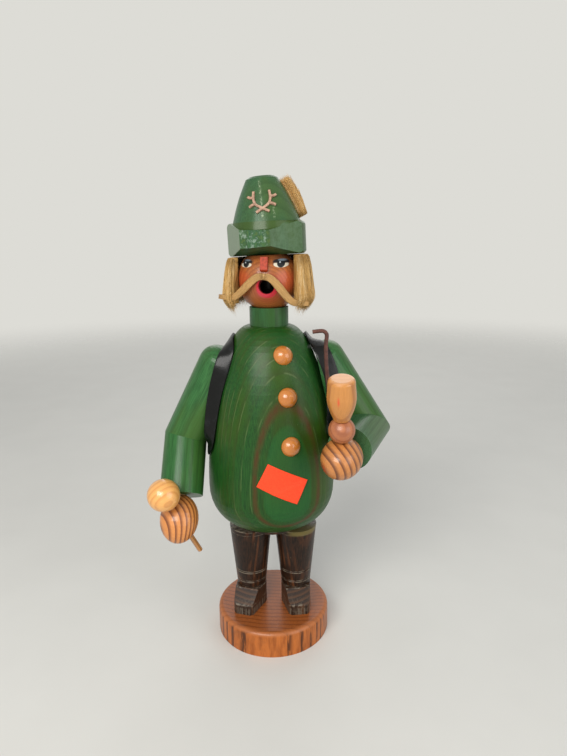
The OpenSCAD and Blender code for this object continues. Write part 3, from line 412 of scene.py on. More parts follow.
def coat_finish():
    """Green stain over flat-sawn rings that close to an oval on the belly, where one ring stays brown.

    The pith lies far behind the coat and leans, so that each ring meets the belly in an oval."""
    turn, pith_behind, pith_lean, spacing = math.radians(16), 150, 0.026, 2.5
    back = np.array([-math.sin(turn), math.cos(turn)])
    f, p, reach, rings, fibre, base = stained(
        "coat_green", (0, 0, 90), (*(back * pith_lean), 1), FRONT, back * pith_behind, spacing,
        ("21501c", "103812", "344c08", "2c3c10"), wobble=0.55, late=0.55, coat=0.24)
    oval = reach - 180.75
    belly = f.axes(p)[1].rise(10, -5)
    worn = f.noise(p, (0.3, 0.3, 0.1), 3).rise(0.3, 0.6)
    base = f.mix(base, "4a2d12", oval.ridge(0, 1.05) * (0.55 + worn * 0.45) * belly * 0.86)
    base = f.mix(base, "1d5526", oval.rise(1.45, 2.05) * 0.5 * belly)
    line = f.noise(p, (0.2, 0.2, 0.05), 1).rise(0.45, 0.6) * (reach / spacing).math("FRACT").ridge(0.9, 0.09)
    base = f.mix(base, "6f8551", line * 0.3 * oval.rise(0.25, -1.25))
    f.set(Base_Color=base, Roughness=0.38 + fibre * 0.16, Coat_Roughness=0.3)
    waves = f.noise(p, (0.35, 0.35, 0.25))
    fine = f.noise(p, (1.1, 1.1, 0.6))
    f.bump(waves * 1.4 + fine * 0.5 + fibre * 0.3 + rings * 0.15, 0.08, 0.7)
    return f


def brim_finish(shades):
    """Green stain, olive on the step and bevel under the crown. Each flat is known by its distance from the
    axis: the front one has peeled relief and painted pale and olive sheen patches, the one at the figure's
    right is painted pale grey as a reflection."""
    up = (-math.sin(HAT_LEAN), 0, math.cos(HAT_LEAN))
    f, p, _, _, fibre, base = stained(
        "hat_brim_green", (0, 0, HAT_Z), up, FRONT, (-14, 22), 2.8, shades, late=0.35)
    x, y, z = f.axes(p)

    def out_along(heading):
        """Distance from the axis along a heading."""
        a = aim(heading, 0)
        return x * a[0] + y * a[1]

    front = out_along(-16.5).rise(18.1, 18.35)
    not_front = 1 - front
    left = out_along(34.5).rise(17.1, 17.3) * not_front
    right = out_along(-67.5).rise(17.4, 17.6) * not_front
    step = z.rise(10.9, 11.7) * out_along(-9.5).rise(2, 9) * not_front * (1 - left) * (1 - right)
    base = f.mix(base, "374d1b", step * 0.8)
    # Noise for the peeled relief and roughness, and the mask of the painted sheen patches.
    peel_and_sheen = f.noise(p, 0.42, 5, 0.72)
    # Painted reflection: the pale and olive patches on the front flat stand for sheen; the peeling shows only
    # in the relief and roughness.
    base = f.mix(base, "93a596", front * peel_and_sheen.rise(0.5, 0.62) * 0.55)
    base = f.mix(base, "6b7a33", front * peel_and_sheen.rise(0.46, 0.38) * 0.25)
    # Painted reflection: the flat at the figure's right is mixed pale grey, as if it reflected the light.
    base = f.mix(base, "87937e", right * 0.6)
    base = f.mix(base, "5a7558", left * peel_and_sheen.rise(0.3, 0.7) * 0.5)
    f.set(Base_Color=base, Roughness=0.32 + peel_and_sheen * 0.16, Coat_Roughness=0.2)
    f.bump(peel_and_sheen * front * 1.5 + f.noise(p, (0.9, 0.9, 0.5)) + fibre * 0.3, 0.06, 0.7)
    return f


def crown_finish(shades):
    """Green stain with a long and a short upright painted highlight streak in front, broken into dots by
    noise.
    """
    turn = HAT_LEAN + CROWN_LEAN
    foot, up = (-0.7, 0, HAT_Z + BRIM_H), (-math.sin(turn), 0, math.cos(turn))
    f, p, _, _, fibre, base = stained(
        "hat_crown_green", foot, up, FRONT, (-3, 16), 2.4, shades, late=0.35)
    x, y, z = f.axes(p)
    dots = f.noise(p, (1.4, 1.4, 1.1), 4, 0.7).rise(0.46, 0.62)
    # Painted highlight: two upright pale streaks on the crown's front stand for a lamp's reflection; they
    # also give a slight relief.
    long_streak = x.ridge(-1.0, 0.9) * z.rise(0.3, 1.5) * z.rise(20.5, 18)
    short_streak = x.ridge(4.6, 0.8) * z.rise(0.3, 1.2) * z.rise(8.5, 5)
    highlight_streaks = (long_streak + short_streak) * dots
    base = f.mix(base, "a9b795", highlight_streaks * y.rise(-3, -6) * 0.7)
    f.set(Base_Color=base, Roughness=0.3 + fibre * 0.16)
    f.bump(f.noise(p, (0.9, 0.9, 0.5)) + fibre * 0.35 + highlight_streaks * 0.5, 0.05, 0.6)
    return f


def pine_finish(name, centre, axis, pith, spacing, shades, late, wobble=0.5, roughness=0.42, coat=0.3):
    """Bare or tinted varnished pine. shades are the early wood, its darker fibres and the late wood, which
    covers by late. Returns the finish, its place and the colour."""
    f = Finish(name, roughness, coat, 0.15)
    p = f.place(centre, axis)
    _, rings, fibre = f.grain(p, pith, spacing, wobble)
    base = f.mix(shades[0], shades[1], fibre.rise(0.35, 0.75) * 0.5)
    base = f.mix(base, shades[2], rings * late)
    f.set(Base_Color=base, Roughness=roughness - 0.08 + fibre * 0.16)
    f.bump(fibre * 0.5 + rings * 0.4, 0.05, 0.5)
    return f, p, base


def base_finish():
    """Reddish stained pine. The layers stand upright across the figure, so they cross the top and streak
    the rim."""
    f = Finish("base_pine", 0.4, 0.18, 0.2, specular=0.22)
    p = f.place()
    _, rings, fibre = f.grain(p, (14, 118), 3.1, 1.3, 0.5)
    x, y, z = f.axes(p)
    radius_squared = x * x + y * y
    side = radius_squared.rise(850, 960) * z.rise(BASE_H - 0.5, BASE_H - 2.5)
    bleed = f.noise(p, (0.5, 0.5, 0.09), 3, 0.6)
    top = f.mix("9f5727", "82451b", fibre.rise(0.3, 0.7))
    top = f.mix(top, "66310f", rings * 0.62)
    rim = f.mix("b5662c", "96501f", bleed.rise(0.35, 0.7))
    rim = f.mix(rim, "4d2812", rings * bleed.rise(0.28, 0.5) * 0.95)
    base = f.mix(top, rim, side)
    edge = radius_squared.rise(780, 900) * z.ridge(BASE_H - 1.0, 1.6)
    base = f.mix(base, "c47c4c", edge * 0.45)
    dirt = f.noise(p, 0.14, 4, 0.65).rise(0.52, 0.72)
    base = f.mix(base, "5d3820", dirt * 0.3)
    f.set(Base_Color=base, Roughness=0.3 + fibre * 0.22)
    f.bump(fibre * 0.5 + rings * 0.5, 0.06, 0.6)
    return f


def boot_finish():
    """Dark brown stain with upright red-brown grain, rubbed pale along the turned grooves and rims."""
    f = Finish("boot_brown", 0.34, 0.2, 0.2, specular=0.18)
    p = f.place()
    _, rings, fibre = f.grain(p, (3, 17), 2.1, 0.9)
    x, y, z = f.axes(p)
    base = f.mix("2c190d", "130a05", fibre.rise(0.38, 0.62))
    patch = f.noise(p, (0.16, 0.16, 0.05), 3, 0.6)
    base = f.mix(base, "5a3319", rings * patch.rise(0.42, 0.66) * 0.75)
    scuffs = f.noise(p, (1.1, 1.1, 0.45), 4, 0.75).rise(0.6, 0.72)
    base = f.mix(base, "7d6a50", scuffs * 0.35 * patch.rise(0.4, 0.6))
    worn = f.noise(p, 0.35, 3).rise(0.36, 0.58)
    rims = z.ridge(BOOT_Z + BOOT_H - 2.4, 0.3) * 0.6
    for height, half in ((0.2, 0.5), (3.3, 0.32), (4.4, 0.28), (9.35, 0.32), (10.5, 0.28),
                         (BOOT_H - 0.2, 0.45)):
        rims = rims + z.ridge(BOOT_Z + height, half)
    base = f.mix(base, "8b7f6d", (rims * worn).math("MINIMUM", 1.0) * 0.75)
    # Painted light: the boots' top rim shows its pale bare wood only at the outer front of the figure's left
    # boot, where light falls; elsewhere the dark stain stands for shade.
    lit_bare_top = z.rise(BOOT_Z + BOOT_H - 3.4, BOOT_Z + BOOT_H - 1.6) * x.rise(7, 12) * y.rise(0, -6)
    base = f.mix(base, "6d6133", lit_bare_top * 0.85)
    f.set(Base_Color=base, Roughness=0.26 + fibre * 0.3)
    f.bump(fibre * 0.7 + scuffs * 0.2, 0.06, 0.6)
    return f


def shoe_finish():
    """The boots' feet: the same stain, rubbed grey at the toe and scored upright along the sole."""
    f = Finish("shoe_brown", 0.4, 0.22, 0.16, specular=0.25)
    p = f.place((0, 0, BASE_H))
    _, rings, fibre = f.grain(p, (2, 30), 2.0, 0.8)
    _, y, z = f.axes(p)
    base = f.mix("35241a", "1c120c", fibre.rise(0.36, 0.64))
    base = f.mix(base, "5b3a22", rings * 0.5)
    score = f.noise(p, (2.2, 2.2, 0.05), 1).rise(0.5, 0.62)
    sole = z.rise(4.6, 3.6)
    base = f.mix(base, "7a7467", score * sole * 0.6)
    worn = f.noise(p, 0.6, 3, 0.6).rise(0.45, 0.62)
    base = f.mix(base, "8a7f70", worn * (z.ridge(5.7, 0.7) + z.ridge(12.3, 0.5)).math("MINIMUM", 1.0) * 0.6)
    base = f.mix(base, "6f6353", worn * y.rise(-10, -17) * 0.3)
    f.set(Base_Color=base, Roughness=0.32 + fibre * 0.25)
    f.bump(fibre * 0.5 - score * sole, 0.09, 0.7)
    return f


def face_finish():
    """The head's ball: tinted wood with painted eyes, airbrushed cheeks and a red ring round the mouth.

    Each mark is an ellipse in the face's own frame: x to the figure's left, z up from the ball's centre."""
    f = Finish("face_wood", 0.38, 0.25, 0.14, specular=0.3)
    p = f.place((0, 0, BALL_Z), UP, aim(FACE_HEADING, 0))
    x, y, z = f.axes(p)
    grain_place = f.place((-1, -14, BALL_Z - 3), (-0.05, 0.92, 0.38), UP)
    _, rings, fibre = f.grain(grain_place, (0.5, 1.0), 1.35, 0.35)
    front = y.rise(-4, -7)

    def spot(cx, cz, half_x, half_z, soft=0.12):
        """1 inside an ellipse, 0 outside, with an edge of width soft in units of its size."""
        u, w = (x - cx) / half_x, (z - cz) / half_z
        return (u * u + w * w).rise(1 + soft, 1 - soft) * front

    base = f.mix("ac6430", "8c4e24", fibre.rise(0.35, 0.7))
    base = f.mix(base, "7c3f1e", rings * 0.6)
    # Painted shade: the forehead darkens towards the brim, standing for the brim's shadow.
    base = f.mix(base, "6c3a20", z.rise(8.5, 12.5) * 0.6)
    base = f.mix(base, "c4472a", (spot(-11.8, 0.1, 4.6, 4.8, 0.85) + spot(10.2, -0.3, 4.8, 5.0, 0.85)) * 0.45)
    base = f.mix(base, "8c2a20", spot(1.4, -3.2, 7.2, 7.2, 0.5) * 0.5)
    base = f.mix(base, "b31f2c", spot(1.3, -2.9, 5.35, 5.35, 0.1))
    base = f.mix(base, "cf4a58", spot(-0.4, -5.0, 3.6, 3.0, 0.4) * 0.35)
    # Painted shade: the mouth's bore is coloured near black, standing for the dark of the deep hole.
    base = f.mix(base, "14090a", spot(1.3, -2.6, 3.5, 3.5, 0.1))
    for cx, cz, size in ((-9.6, 8.3, 0.92), (7.9, 8.5, 1.05)):
        base = f.mix(base, "5a3c2c", spot(cx, cz + 0.9, 4.2 * size, 2.6 * size, 0.4) * 0.6)
        white = spot(cx, cz - 0.5, 3.3 * size, 1.45 * size, 0.12) * z.rise(cz + 0.5, cz - 0.1)
        base = f.mix(base, "cfc7b2", white)
        lid = spot(cx, cz + 0.7, 3.7 * size, 1.35 * size, 0.25) * z.rise(cz - 0.1, cz + 0.5)
        base = f.mix(base, "1b1f24", lid * 0.95)
        base = f.mix(base, "181c1f", spot(cx, cz - 0.1, 1.75 * size, 1.85 * size, 0.14))
        base = f.mix(base, "7c8c98", spot(cx + 0.5, cz + 1.6, 1.9 * size, 0.5 * size, 0.5) * 0.75)
        # Painted highlight: a small pale dot on each iris stands for a glint of light.
        base = f.mix(base, "b9c2c6", spot(cx - 0.5, cz + 0.5, 0.4, 0.4, 0.2) * 0.8)
    # Painted shade: the hollow inside of the head is coloured near black.
    inside = (x * x + y * y + z * z).rise(246, 232)
    base = f.mix(base, "1a0e0a", inside * 0.9)
    f.set(Base_Color=base, Roughness=0.32 + fibre * 0.18)
    f.bump(fibre * 0.5 + rings * 0.35, 0.05, 0.5)
    return f


def nose_finish():
    """A painted peg, orange-red, with painted pale sheen on its foremost ridge."""
    f = Finish("nose_paint", 0.5, 0.1, 0.3, specular=0.2)
    p = f.place((0, 0, HAT_Z))
    y = f.axes(p)[1]
    fibre = f.noise(p, (2.0, 2.0, 0.3), 3, 0.6)
    base = f.mix("ae3a1c", "872e16", fibre.rise(0.35, 0.7))
    # Painted highlight: the foremost part of the nose is mixed pale, standing for light on it.
    base = f.mix(base, "c8714c", fibre.rise(0.42, 0.62) * y.rise(-16.6, -17.6) * 0.55)
    f.set(Base_Color=base, Roughness=0.48 + fibre * 0.15)
    f.bump(fibre, 0.04, 0.5)
    return f


def fur_finish(name, light, dark, pale):
    """Fur: each hair has its own tone, is darker at the root and paler at the tip."""
    f = Finish(name, 0.62, 0.0, specular=0.35)
    tone, tip = f.number("tone"), f.number("tip")
    p = f.place()
    patch = f.noise(p, (0.18, 0.18, 0.1), 3)
    base = f.mix(dark, light, tone.rise(0.05, 0.6))
    base = f.mix(base, pale, tone.rise(0.72, 1.0) * 0.8)
    base = f.mix(base, dark, tip.rise(0.35, 0.0) * 0.55 + patch.rise(0.55, 0.7) * 0.3)
    f.set(Base_Color=base, Roughness=0.55 + tone * 0.15)
    f.bump(f.noise(p, (2.0, 2.0, 0.5), 3), 0.06, 0.5)
    return f


def leather_finish(name, light, dark, gloss, pebble):
    """Glossed leather: pebble fine pebbles per millimetre, creases across and rubbed lighter patches."""
    f = Finish(name, 0.3, gloss, 0.18, specular=0.15)
    p = f.place()
    pebbles = f.node("ShaderNodeTexVoronoi", None, {"Vector": p, "Scale": pebble})
    wear = f.noise(p, 0.22, 4, 0.62)
    base = f.mix(dark, light, wear.rise(0.48, 0.72))
    f.set(Base_Color=base, Roughness=0.24 + wear * 0.3)
    f.bump(pebbles * 0.6 + f.noise(p, (0.5, 0.5, 0.9), 3) * 1.2, 0.08, 0.7)
    return f


def cloth_finish(name, light, dark):
    """Plain canvas: crossed threads a third of a millimetre apart, faded in patches."""
    f = Finish(name, 0.85, 0.0, specular=0.2)
    p = f.place()
    x, y, z = f.axes(p)
    warp = ((x + y * 0.6) * 18.0).math("SINE")
    weft = (z * 18.0).math("SINE")
    weave = (warp * weft) * 0.5 + 0.5
    fade = f.noise(p, 0.12, 4, 0.6)
    base = f.mix(dark, light, weave * 0.55 + fade.rise(0.3, 0.7) * 0.45)
    f.set(Base_Color=base, Roughness=0.8 + weave * 0.12)
    f.bump(weave, 0.08, 0.6)
    return f


def metal_finish(name, bright, dull, roughness, soot=0.0):
    """Sheet or wire metal, tarnished in patches."""
    f = Finish(name, roughness, metallic=0.9)
    p = f.place()
    patch = f.noise(p, 0.4, 4, 0.65)
    base = f.mix(bright, dull, patch.rise(0.4, 0.65))
    base = f.mix(base, "1b1714", patch.rise(0.35, 0.6) * soot)
    f.set(Base_Color=base, Roughness=roughness + patch * 0.25, Metallic=0.9 - patch.rise(0.4, 0.7) * 0.5)
    f.bump(patch, 0.03, 0.5)
    return f


def bowl_finish():
    """The pipe's bowl: varnished wood with an orange fleck on its front and a pale rim."""
    f, p, base = pine_finish("bowl_wood", middle("pipe_bowl"), (-0.04, -0.225, 0.974), (3, 19), 3.4,
                             ("c58440", "a96c2c", "935424"), 0.55, 0.6, 0.36, 0.4)
    x, y, z = f.axes(p)
    fleck = (x + 2.0).ridge(0, 0.8) * z.ridge(1.5, 3.2) * y.rise(0, -2)
    base = f.mix(base, "d04a1a", fleck * 0.95)
    f.set(Base_Color=f.mix(base, "dfa878", z.rise(9.4, 10.2) * 0.6))
    return f


def badge_finish():
    """Dull pinkish cast badge, mottled."""
    f = Finish("badge_pink", 0.5, 0.1, 0.3, specular=0.25)
    mottle = f.noise(f.place(), 0.8, 3, 0.6)
    f.set(Base_Color=f.mix("b8947c", "93735f", mottle.rise(0.38, 0.66)), Roughness=0.36 + mottle * 0.2)
    f.bump(mottle, 0.05, 0.5)
    return f


def dress_nodes():
    """Gives the wooden and metal nodes their finishes. In the tables a row holds the node, the finish's
    name and what green_finish or pine_finish take after it, but for the centre of a pine piece."""
    dress(coat_finish(), "coat")
    right_up = (math.sin(RIGHT_ARM_LEAN), 0, math.cos(RIGHT_ARM_LEAN))
    left_up = (-math.sin(LEFT_ARM_LEAN), 0, math.cos(LEFT_ARM_LEAN))
    sleeve = ("376a38", "214c26", "3f6024", "2b451a")
    for node, *recipe in (
            ("right_upper_arm", "right_sleeve_green", RIGHT_ELBOW, right_up, FRONT, (-4, 9), 2.6, sleeve),
            ("left_upper_arm", "left_sleeve_green", LEFT_ELBOW, left_up, FRONT, (8, 10), 2.6, sleeve),
            ("right_forearm", "right_forearm_green", RIGHT_ELBOW, aim(-3.3, 57), LEFT_SIDE, (6, 14), 2.6,
             ("2f6430", "1e4c22", "3d6226", "24421a")),
            ("left_forearm", "left_forearm_green", LEFT_ELBOW, aim(-23.3, 3), LEFT_SIDE, (10, 6), 2.6,
             ("466f48", "2f5635", "486238", "2b4724")),
            ("collar", "collar_green", (0, 0, 180), UP, FRONT, (5, 12), 2.0,
             ("2c5f35", "1b4224", "2f5020", "22371b"))):
        dress(green_finish(*recipe), node)
    hat = ("3a613c", "26482f", "425a2c", "2c4424")
    dress(brim_finish(hat), "hat_brim")
    dress(crown_finish(hat), "hat_crown")
    dress(base_finish(), "base_disc")
    dress(boot_finish(), "right_boot", "left_boot", "seat_plug")
    dress(shoe_finish(), "right_shoe", "left_shoe")
    dress(face_finish(), "head")
    dress(nose_finish(), "nose")
    for node, name, *recipe in (
            ("right_hand", "right_hand_pine", (0.35, -0.45, -0.8), (-9, 3), 2.25,
             ("d48a48", "bc7036", "6c3413"), 0.9),
            ("left_hand", "left_hand_pine", (0.36, 0.1, -0.93), (-27, 3), 3.2,
             ("c47f42", "a05e2a", "623214"), 0.92),
            ("stick_knob", "knob_pine", (0.8, 0.3, 0.5), (6, -14), 2.6,
             ("e8ac62", "d8954c", "c27a3a"), 0.5, 0.6, 0.3, 0.5),
            ("stick_rod", "stick_pine", -aim(154, 57.5), (2, 3), 1.1,
             ("c78d52", "a8703a", "7d4e27"), 0.7, 0.3),
            ("pipe_bead", "bead_wood", (0.9, 0.1, 0.4), (4, 8), 1.9,
             ("ac6840", "94552f", "7c4026"), 0.5, 0.4, 0.42, 0.25)):
        dress(pine_finish(name, middle(node), *recipe)[0], node)
    for k, node in enumerate(("top_button", "middle_button", "bottom_button")):
        wood = pine_finish(node + "_wood", middle(node), (0.3 * k, 0.2, 1), (4 - 3 * k, 7), 1.7,
                           ("c4782f", "ad6524", "93511e"), 0.28, 0.4, 0.28, 0.6)[0]
        dress(wood, node)
    dowels = pine_finish("dowel_pine", (0, 0, 0), UP, (5, 9), 1.6, ("d9b27c", "c2955c", "a97740"),
                         0.6, 0.5, 0.6, 0.0)[0]
    dress(dowels, *[n for n in NODES if n.endswith("dowel")])
    dress(bowl_finish(), "pipe_bowl")
    dress(metal_finish("stem_wire", "6b4a42", "4a2f2a", 0.38), "pipe_stem")
    dress(metal_finish("tray_tin", "b7b6b0", "7d7a72", 0.34, 0.6), "cone_tray", "tray_nail")
    dress(badge_finish(), "antler_badge")


# Leather straps
def strap(side, stations):
    """A leather band along stations (height on the coat, turn from the front, distance from the coat,
    twist).

    A point stands at the coat's radius plus the distance, turned by the turn; the band faces along the
    coat's normal, turned back to the front by the twist. The section is a flat superellipse with a slight
    crown."""
    s = through(stations, 10)
    h, turn, off, twist = s.T
    r, a, q = coat_radius(h) + off, np.radians(turn), np.radians(turn - twist)
    route = np.stack([side * r * np.sin(a), -r * np.cos(a), COAT_Z + h], 1)
    slope = coat_slope(h)
    outward = np.stack([side * np.cos(slope) * np.sin(q), -np.cos(slope) * np.cos(q), np.sin(slope)], 1)
    t = np.linspace(0, 2 * np.pi, 28, endpoint=False)
    wide = STRAP_W / 2 * bowed(np.cos(t), 0.4)
    thick = STRAP_T / 2 * bowed(np.sin(t), 0.7)
    crease = 0.05 * np.sin(np.arange(len(h)) * 0.9 + side)[:, None] * (np.sin(t) > 0)
    rings = band(route, outward, np.broadcast_to(wide, (len(h), 28)), thick + crease * np.cos(wide / 2.6))
    return tube(rings)


def make_straps(finish):
    """Both straps, from the bag over the shoulder and back under the arm."""
    right = [[82.8, 158.5, 1.3, -1], [90, 145, 0.9, 1], [98, 119.5, 1, 9], [101.3, 86, 1.3, 18],
             [98.3, 62, 2.7, 32], [90, 56.5, 3.6, 49], [76.8, 60.4, 3.1, 40], [62, 62.5, 2.9, 31],
             [52, 64, 2.6, 21], [46, 70, 1.3, 7], [44, 81, 0.6, 0], [44.4, 104, 0.6, 0],
             [46, 126, 0.9, 0], [47.5, 147, 1.2, 0]]
    left = [[82.8, 158.5, 1.5, -6], [90, 146.5, 1, 1], [98, 122, 1.3, 18], [101.8, 90.7, 2.3, 38],
            [99.2, 70.5, 6, 60], [94.5, 65.2, 7.8, 57], [82.5, 65.4, 8, 51], [68, 66.8, 5.1, 36],
            [56, 69, 3.1, 21], [47.5, 76.6, 1.5, 4], [45, 90, 1, -1], [45.5, 118, 1, -1],
            [47.5, 144, 1.2, 0]]
    piece("right_shoulder_strap", *strap(-1, right), finish, "coat_body", "black_leather", ("right_strap",))
    piece("left_shoulder_strap", *strap(1, left), finish, "coat_body", "black_leather", ("left_strap",))


# Rucksack
def make_bag(canvas):
    """The bag is a stack of rounded rings. Its back bulges low down and sags between soft folds; the side
    towards the figure follows the coat with a small gap."""
    v = np.linspace(0.004, 0.996, 56)[:, None]
    t = np.linspace(0, 2 * np.pi, 96, endpoint=False)[None]
    close = (1 - np.abs(2 * v - 1) ** 7) ** (1 / 5)
    z = BAG_Z + BAG_H * v + 0 * t
    coat_r = coat_radius(z - COAT_Z)
    back = 44.6 - 2.4 * v + 0.7 * np.sin(np.pi * v ** 0.7)
    front = np.sqrt(np.maximum((coat_r + 0.45) ** 2 - 60, 1))
    middle_y, half_depth = (back + front) / 2, (back - front) / 2
    x = (BAG_W / 2 + 0.5 * np.sin(np.pi * v)) * close * bowed(np.cos(t), 0.5)
    folds = 0.34 * np.sin(x * 0.9 + 5 * v) * np.sin(np.pi * v)
    folds = folds + 0.26 * np.sin(7.5 * np.pi * v + 0.15 * x) * np.exp(-((v - 0.25) / 0.3) ** 2)
    y = middle_y + half_depth * close * bowed(np.sin(t), 0.55) + folds * (np.sin(t) > 0.15)
    y = np.maximum(y, np.sqrt(np.maximum((coat_r + 0.42) ** 2 - x ** 2, 0)))
    points, faces = tube(np.stack([x, y, z], -1))
    bag = piece("canvas_rucksack", points, faces, canvas, "coat_body", "bag_cloth", ("rucksack_bag",))


def make_flap(leather):
    """The flap lies over the bag's mouth and hangs down its back. Its middle line is carried sideways, its
    corners are cut back and its free end waves a little."""
    over = through([[29.0, 147.45], [34, 147.75], [38.5, 147.7], [42.2, 146.3], [44.0, 142.6], [44.9, 138],
                    [45.75, 133], [46.1, 129.6], [46.1, 127.2]], 6)
    rows = len(over)
    u = np.linspace(-1, 1, 40)[None]
    s = np.linspace(0, 1, rows)[:, None]
    ahead = unit(np.gradient(over, axis=0))
    out = np.stack([ahead[:, 1], -ahead[:, 0]], 1)
    out = out * np.sign(out[rows // 2, 0])
    trimmed = s * (1.0 - 0.14 * np.abs(u) ** 6)
    at_y, at_z = (np.interp(trimmed, s[:, 0], over[:, k]) for k in (0, 1))
    out_y, out_z = (np.interp(trimmed, s[:, 0], out[:, k]) for k in (0, 1))
    wave = 0.25 * np.sin(u * 5 + s * 3) * s
    x = u * (BAG_W / 2 + 0.4 * s)
    z = at_z + out_z * wave - 0.5 * np.abs(u) ** 4 * (1 - s)
    centre = np.stack([x, at_y + out_y * wave, z], -1)
    normal = np.stack([0 * out_y, out_y, out_z], -1)
    outer, inner = centre + FLAP_T / 2 * normal, centre - FLAP_T / 2 * normal
    points, faces = tube(np.concatenate([outer, inner[:, ::-1]], 1))
    flap = piece("rucksack_cover", points, faces, leather, "coat_body", "bag_cloth", ("rucksack_flap",))


# Hair, moustache and tuft
def face_place(points):
    """Points of the face's own frame, turned with the head."""
    return spin(points, FACE_TURN)


def hair_ring(angle, height, layer):
    """A point of the hair: angle from the face's front, height from 0 at the tips to 1 under the brim, and
    layer from 0 at the head to 1 outside. The reach grows downwards as a rounded flare and ebbs at the very
    end."""
    flare = 0.46 + 0.54 * np.sqrt(np.clip(1 - height, 0, 1))
    ebb = 1 - 0.22 * np.clip(-height + 0.12, 0, 1) / 0.12
    reach = HAIR_R + HAIR_DEPTH * layer * flare * ebb
    brim_z = HAT_Z - 0.35 + math.tan(HAT_LEAN) * reach * np.sin(angle)
    z = HAIR_FOOT_Z + (brim_z - HAIR_FOOT_Z) * height
    return np.stack(np.broadcast_arrays(reach * np.sin(angle), -reach * np.cos(angle), z), -1)


def make_hair(finish):
    """A fur strip glued round the head: a backing and three coats of long hairs hanging from under the
    brim."""
    angle = np.radians(np.linspace(57, 303, 120))
    h = np.linspace(0.03, 0.995, 18)
    outer = hair_ring(angle[:, None], h[None], 0.82 + 0.04 * np.sin(angle * 9)[:, None])
    inner = hair_ring(angle[:, None], h[None, ::-1], 0 * angle[:, None] + 0.02)
    points, faces = tube(face_place(np.concatenate([outer, inner], 1)))
    numbers = {"tone": chance.rand(len(points)) * 0.4, "tip": np.full(len(points), 0.5)}
    piece("hair_backing", points, faces, finish, "head_body", "fur", ("hair",), numbers)
    n, s = 6200, 6
    t = np.linspace(0, 1, s)[None]
    for name, low, high in (("right_hair", 252, 306), ("left_hair", 54, 108), ("back_hair", 104, 256)):
        start = np.radians(chance.uniform(low, high, n))
        layer = chance.uniform(0.35, 1.03, n) ** 0.6
        top = np.where(chance.rand(n) < 0.62, chance.uniform(0.86, 0.99, n), chance.uniform(0.35, 0.95, n))
        end = chance.normal(0.0, 0.055, n) - 0.06 * (chance.rand(n) < 0.03) * chance.uniform(0.5, 3, n)
        height = top[:, None] + (end - top)[:, None] * t
        drift = chance.normal(0, 0.075, n)[:, None] * t ** 1.5
        drift = drift + 0.012 * np.sin(5 * t + chance.uniform(0, 6, n)[:, None])
        shade = chance.rand(180)[(start * 28).astype(int) % 180]
        layer = layer * (0.86 + 0.2 * shade)
        lock = (0.05 * np.sin(start * 23) + 0.05 * (shade - 0.5))[:, None] * t
        splay = 1 + 0.05 * t ** 3 * chance.normal(0, 1, n)[:, None]
        routes = face_place(hair_ring(start[:, None] + drift + lock, height, layer[:, None] * splay))
        points, faces = strands(routes, chance.uniform(0.06, 0.11, n), level_out(routes))
        piece(name, points, faces, finish, "head_body", "fur", (), hair_numbers(n, s, shade))


def moustache_line(u):
    """The moustache's middle line, u from -1 to 1: level in the middle, it drops as a smooth step and wraps
    the face."""
    t = ((np.abs(u) - 0.06) / 0.68).clip(0, 1)
    drop = MOUSTACHE_DROP * t * t * (3 - 2 * t)
    front = HEAD_D / 2 + 1.0 - MOUSTACHE_BACK
    wrap = np.cos(np.pi / 2 * np.clip(u, -0.9999, 0.9999)) ** 1.3
    return np.stack([u * MOUSTACHE_L / 2, -MOUSTACHE_BACK - front * wrap, -drop], -1)


def moustache_place(points):
    """The moustache's frame: tilted by 4.5 degrees, over the mouth and turned with the face."""
    height = HEAD_Z + MOUTH_H + MOUTH_R + 1.7
    return face_place(lean(points, math.radians(-4.5)) + np.array([0, 0, height]))


def moustache_size(u):
    """Half width and half thickness along the moustache: fullest a third of the way out, thin at the
    ends."""
    half = 1.5 + 0.4 * np.exp(-((np.abs(u) - 0.42) / 0.24) ** 2) - 0.5 * np.abs(u) ** 4
    return half, 0.8 - 0.25 * np.abs(u) ** 3


def make_moustache(finish):
    """A band of short fur over the mouth: a lens-shaped core with combed hairs that lie outwards along
    it."""
    u = np.linspace(-1, 1, 121)
    half, thick = moustache_size(u)
    ends = (1 - np.abs(u) ** 24).clip(0.12, 1)
    t = np.linspace(0, 2 * np.pi, 26, endpoint=False)
    ruffle = 1 + 0.05 * np.sin(9 * t)
    route = moustache_line(u)
    across_by = (half * ends)[:, None] * np.cos(t) * ruffle
    out_by = (thick * ends * 0.9)[:, None] * np.sin(t) * ruffle
    points, faces = tube(moustache_place(band(route, level_out(route), across_by, out_by)))
    numbers = {"tone": 0.25 + 0.5 * chance.rand(len(points)), "tip": np.full(len(points), 0.6)}
    piece("moustache_core", points, faces, finish, "head_body", "fur", ("moustache",), numbers)
    n, s = 4200, 6
    t = np.linspace(0, 1, s)[None]
    side = np.where(chance.rand(n) < 0.5, -1, 1)
    begin = chance.uniform(0.0, 0.9, n)
    reach = np.minimum(begin + chance.uniform(0.12, 0.34, n), 1.0 + 0.03 * chance.rand(n))
    along = side[:, None] * (begin[:, None] + (reach - begin)[:, None] * t)
    route = moustache_line(along)
    ahead = unit(np.gradient(route, axis=1))
    across = unit(np.cross(ahead, level_out(route)))
    out = np.cross(across, ahead)
    half, thick = moustache_size(along)
    turn = chance.uniform(-0.15, np.pi + 0.15, n)[:, None]
    spread = 1.02 + 0.12 * t ** 2 * chance.rand(n)[:, None]
    sideways, outwards = half * np.cos(turn) * spread, thick * np.sin(turn) * spread
    routes = route + sideways[..., None] * across + outwards[..., None] * out
    points, faces = strands(moustache_place(routes), chance.uniform(0.05, 0.09, n), level_out(routes))
    piece("moustache_hairs", points, faces, finish, "head_body", "fur", (), hair_numbers(n, s))


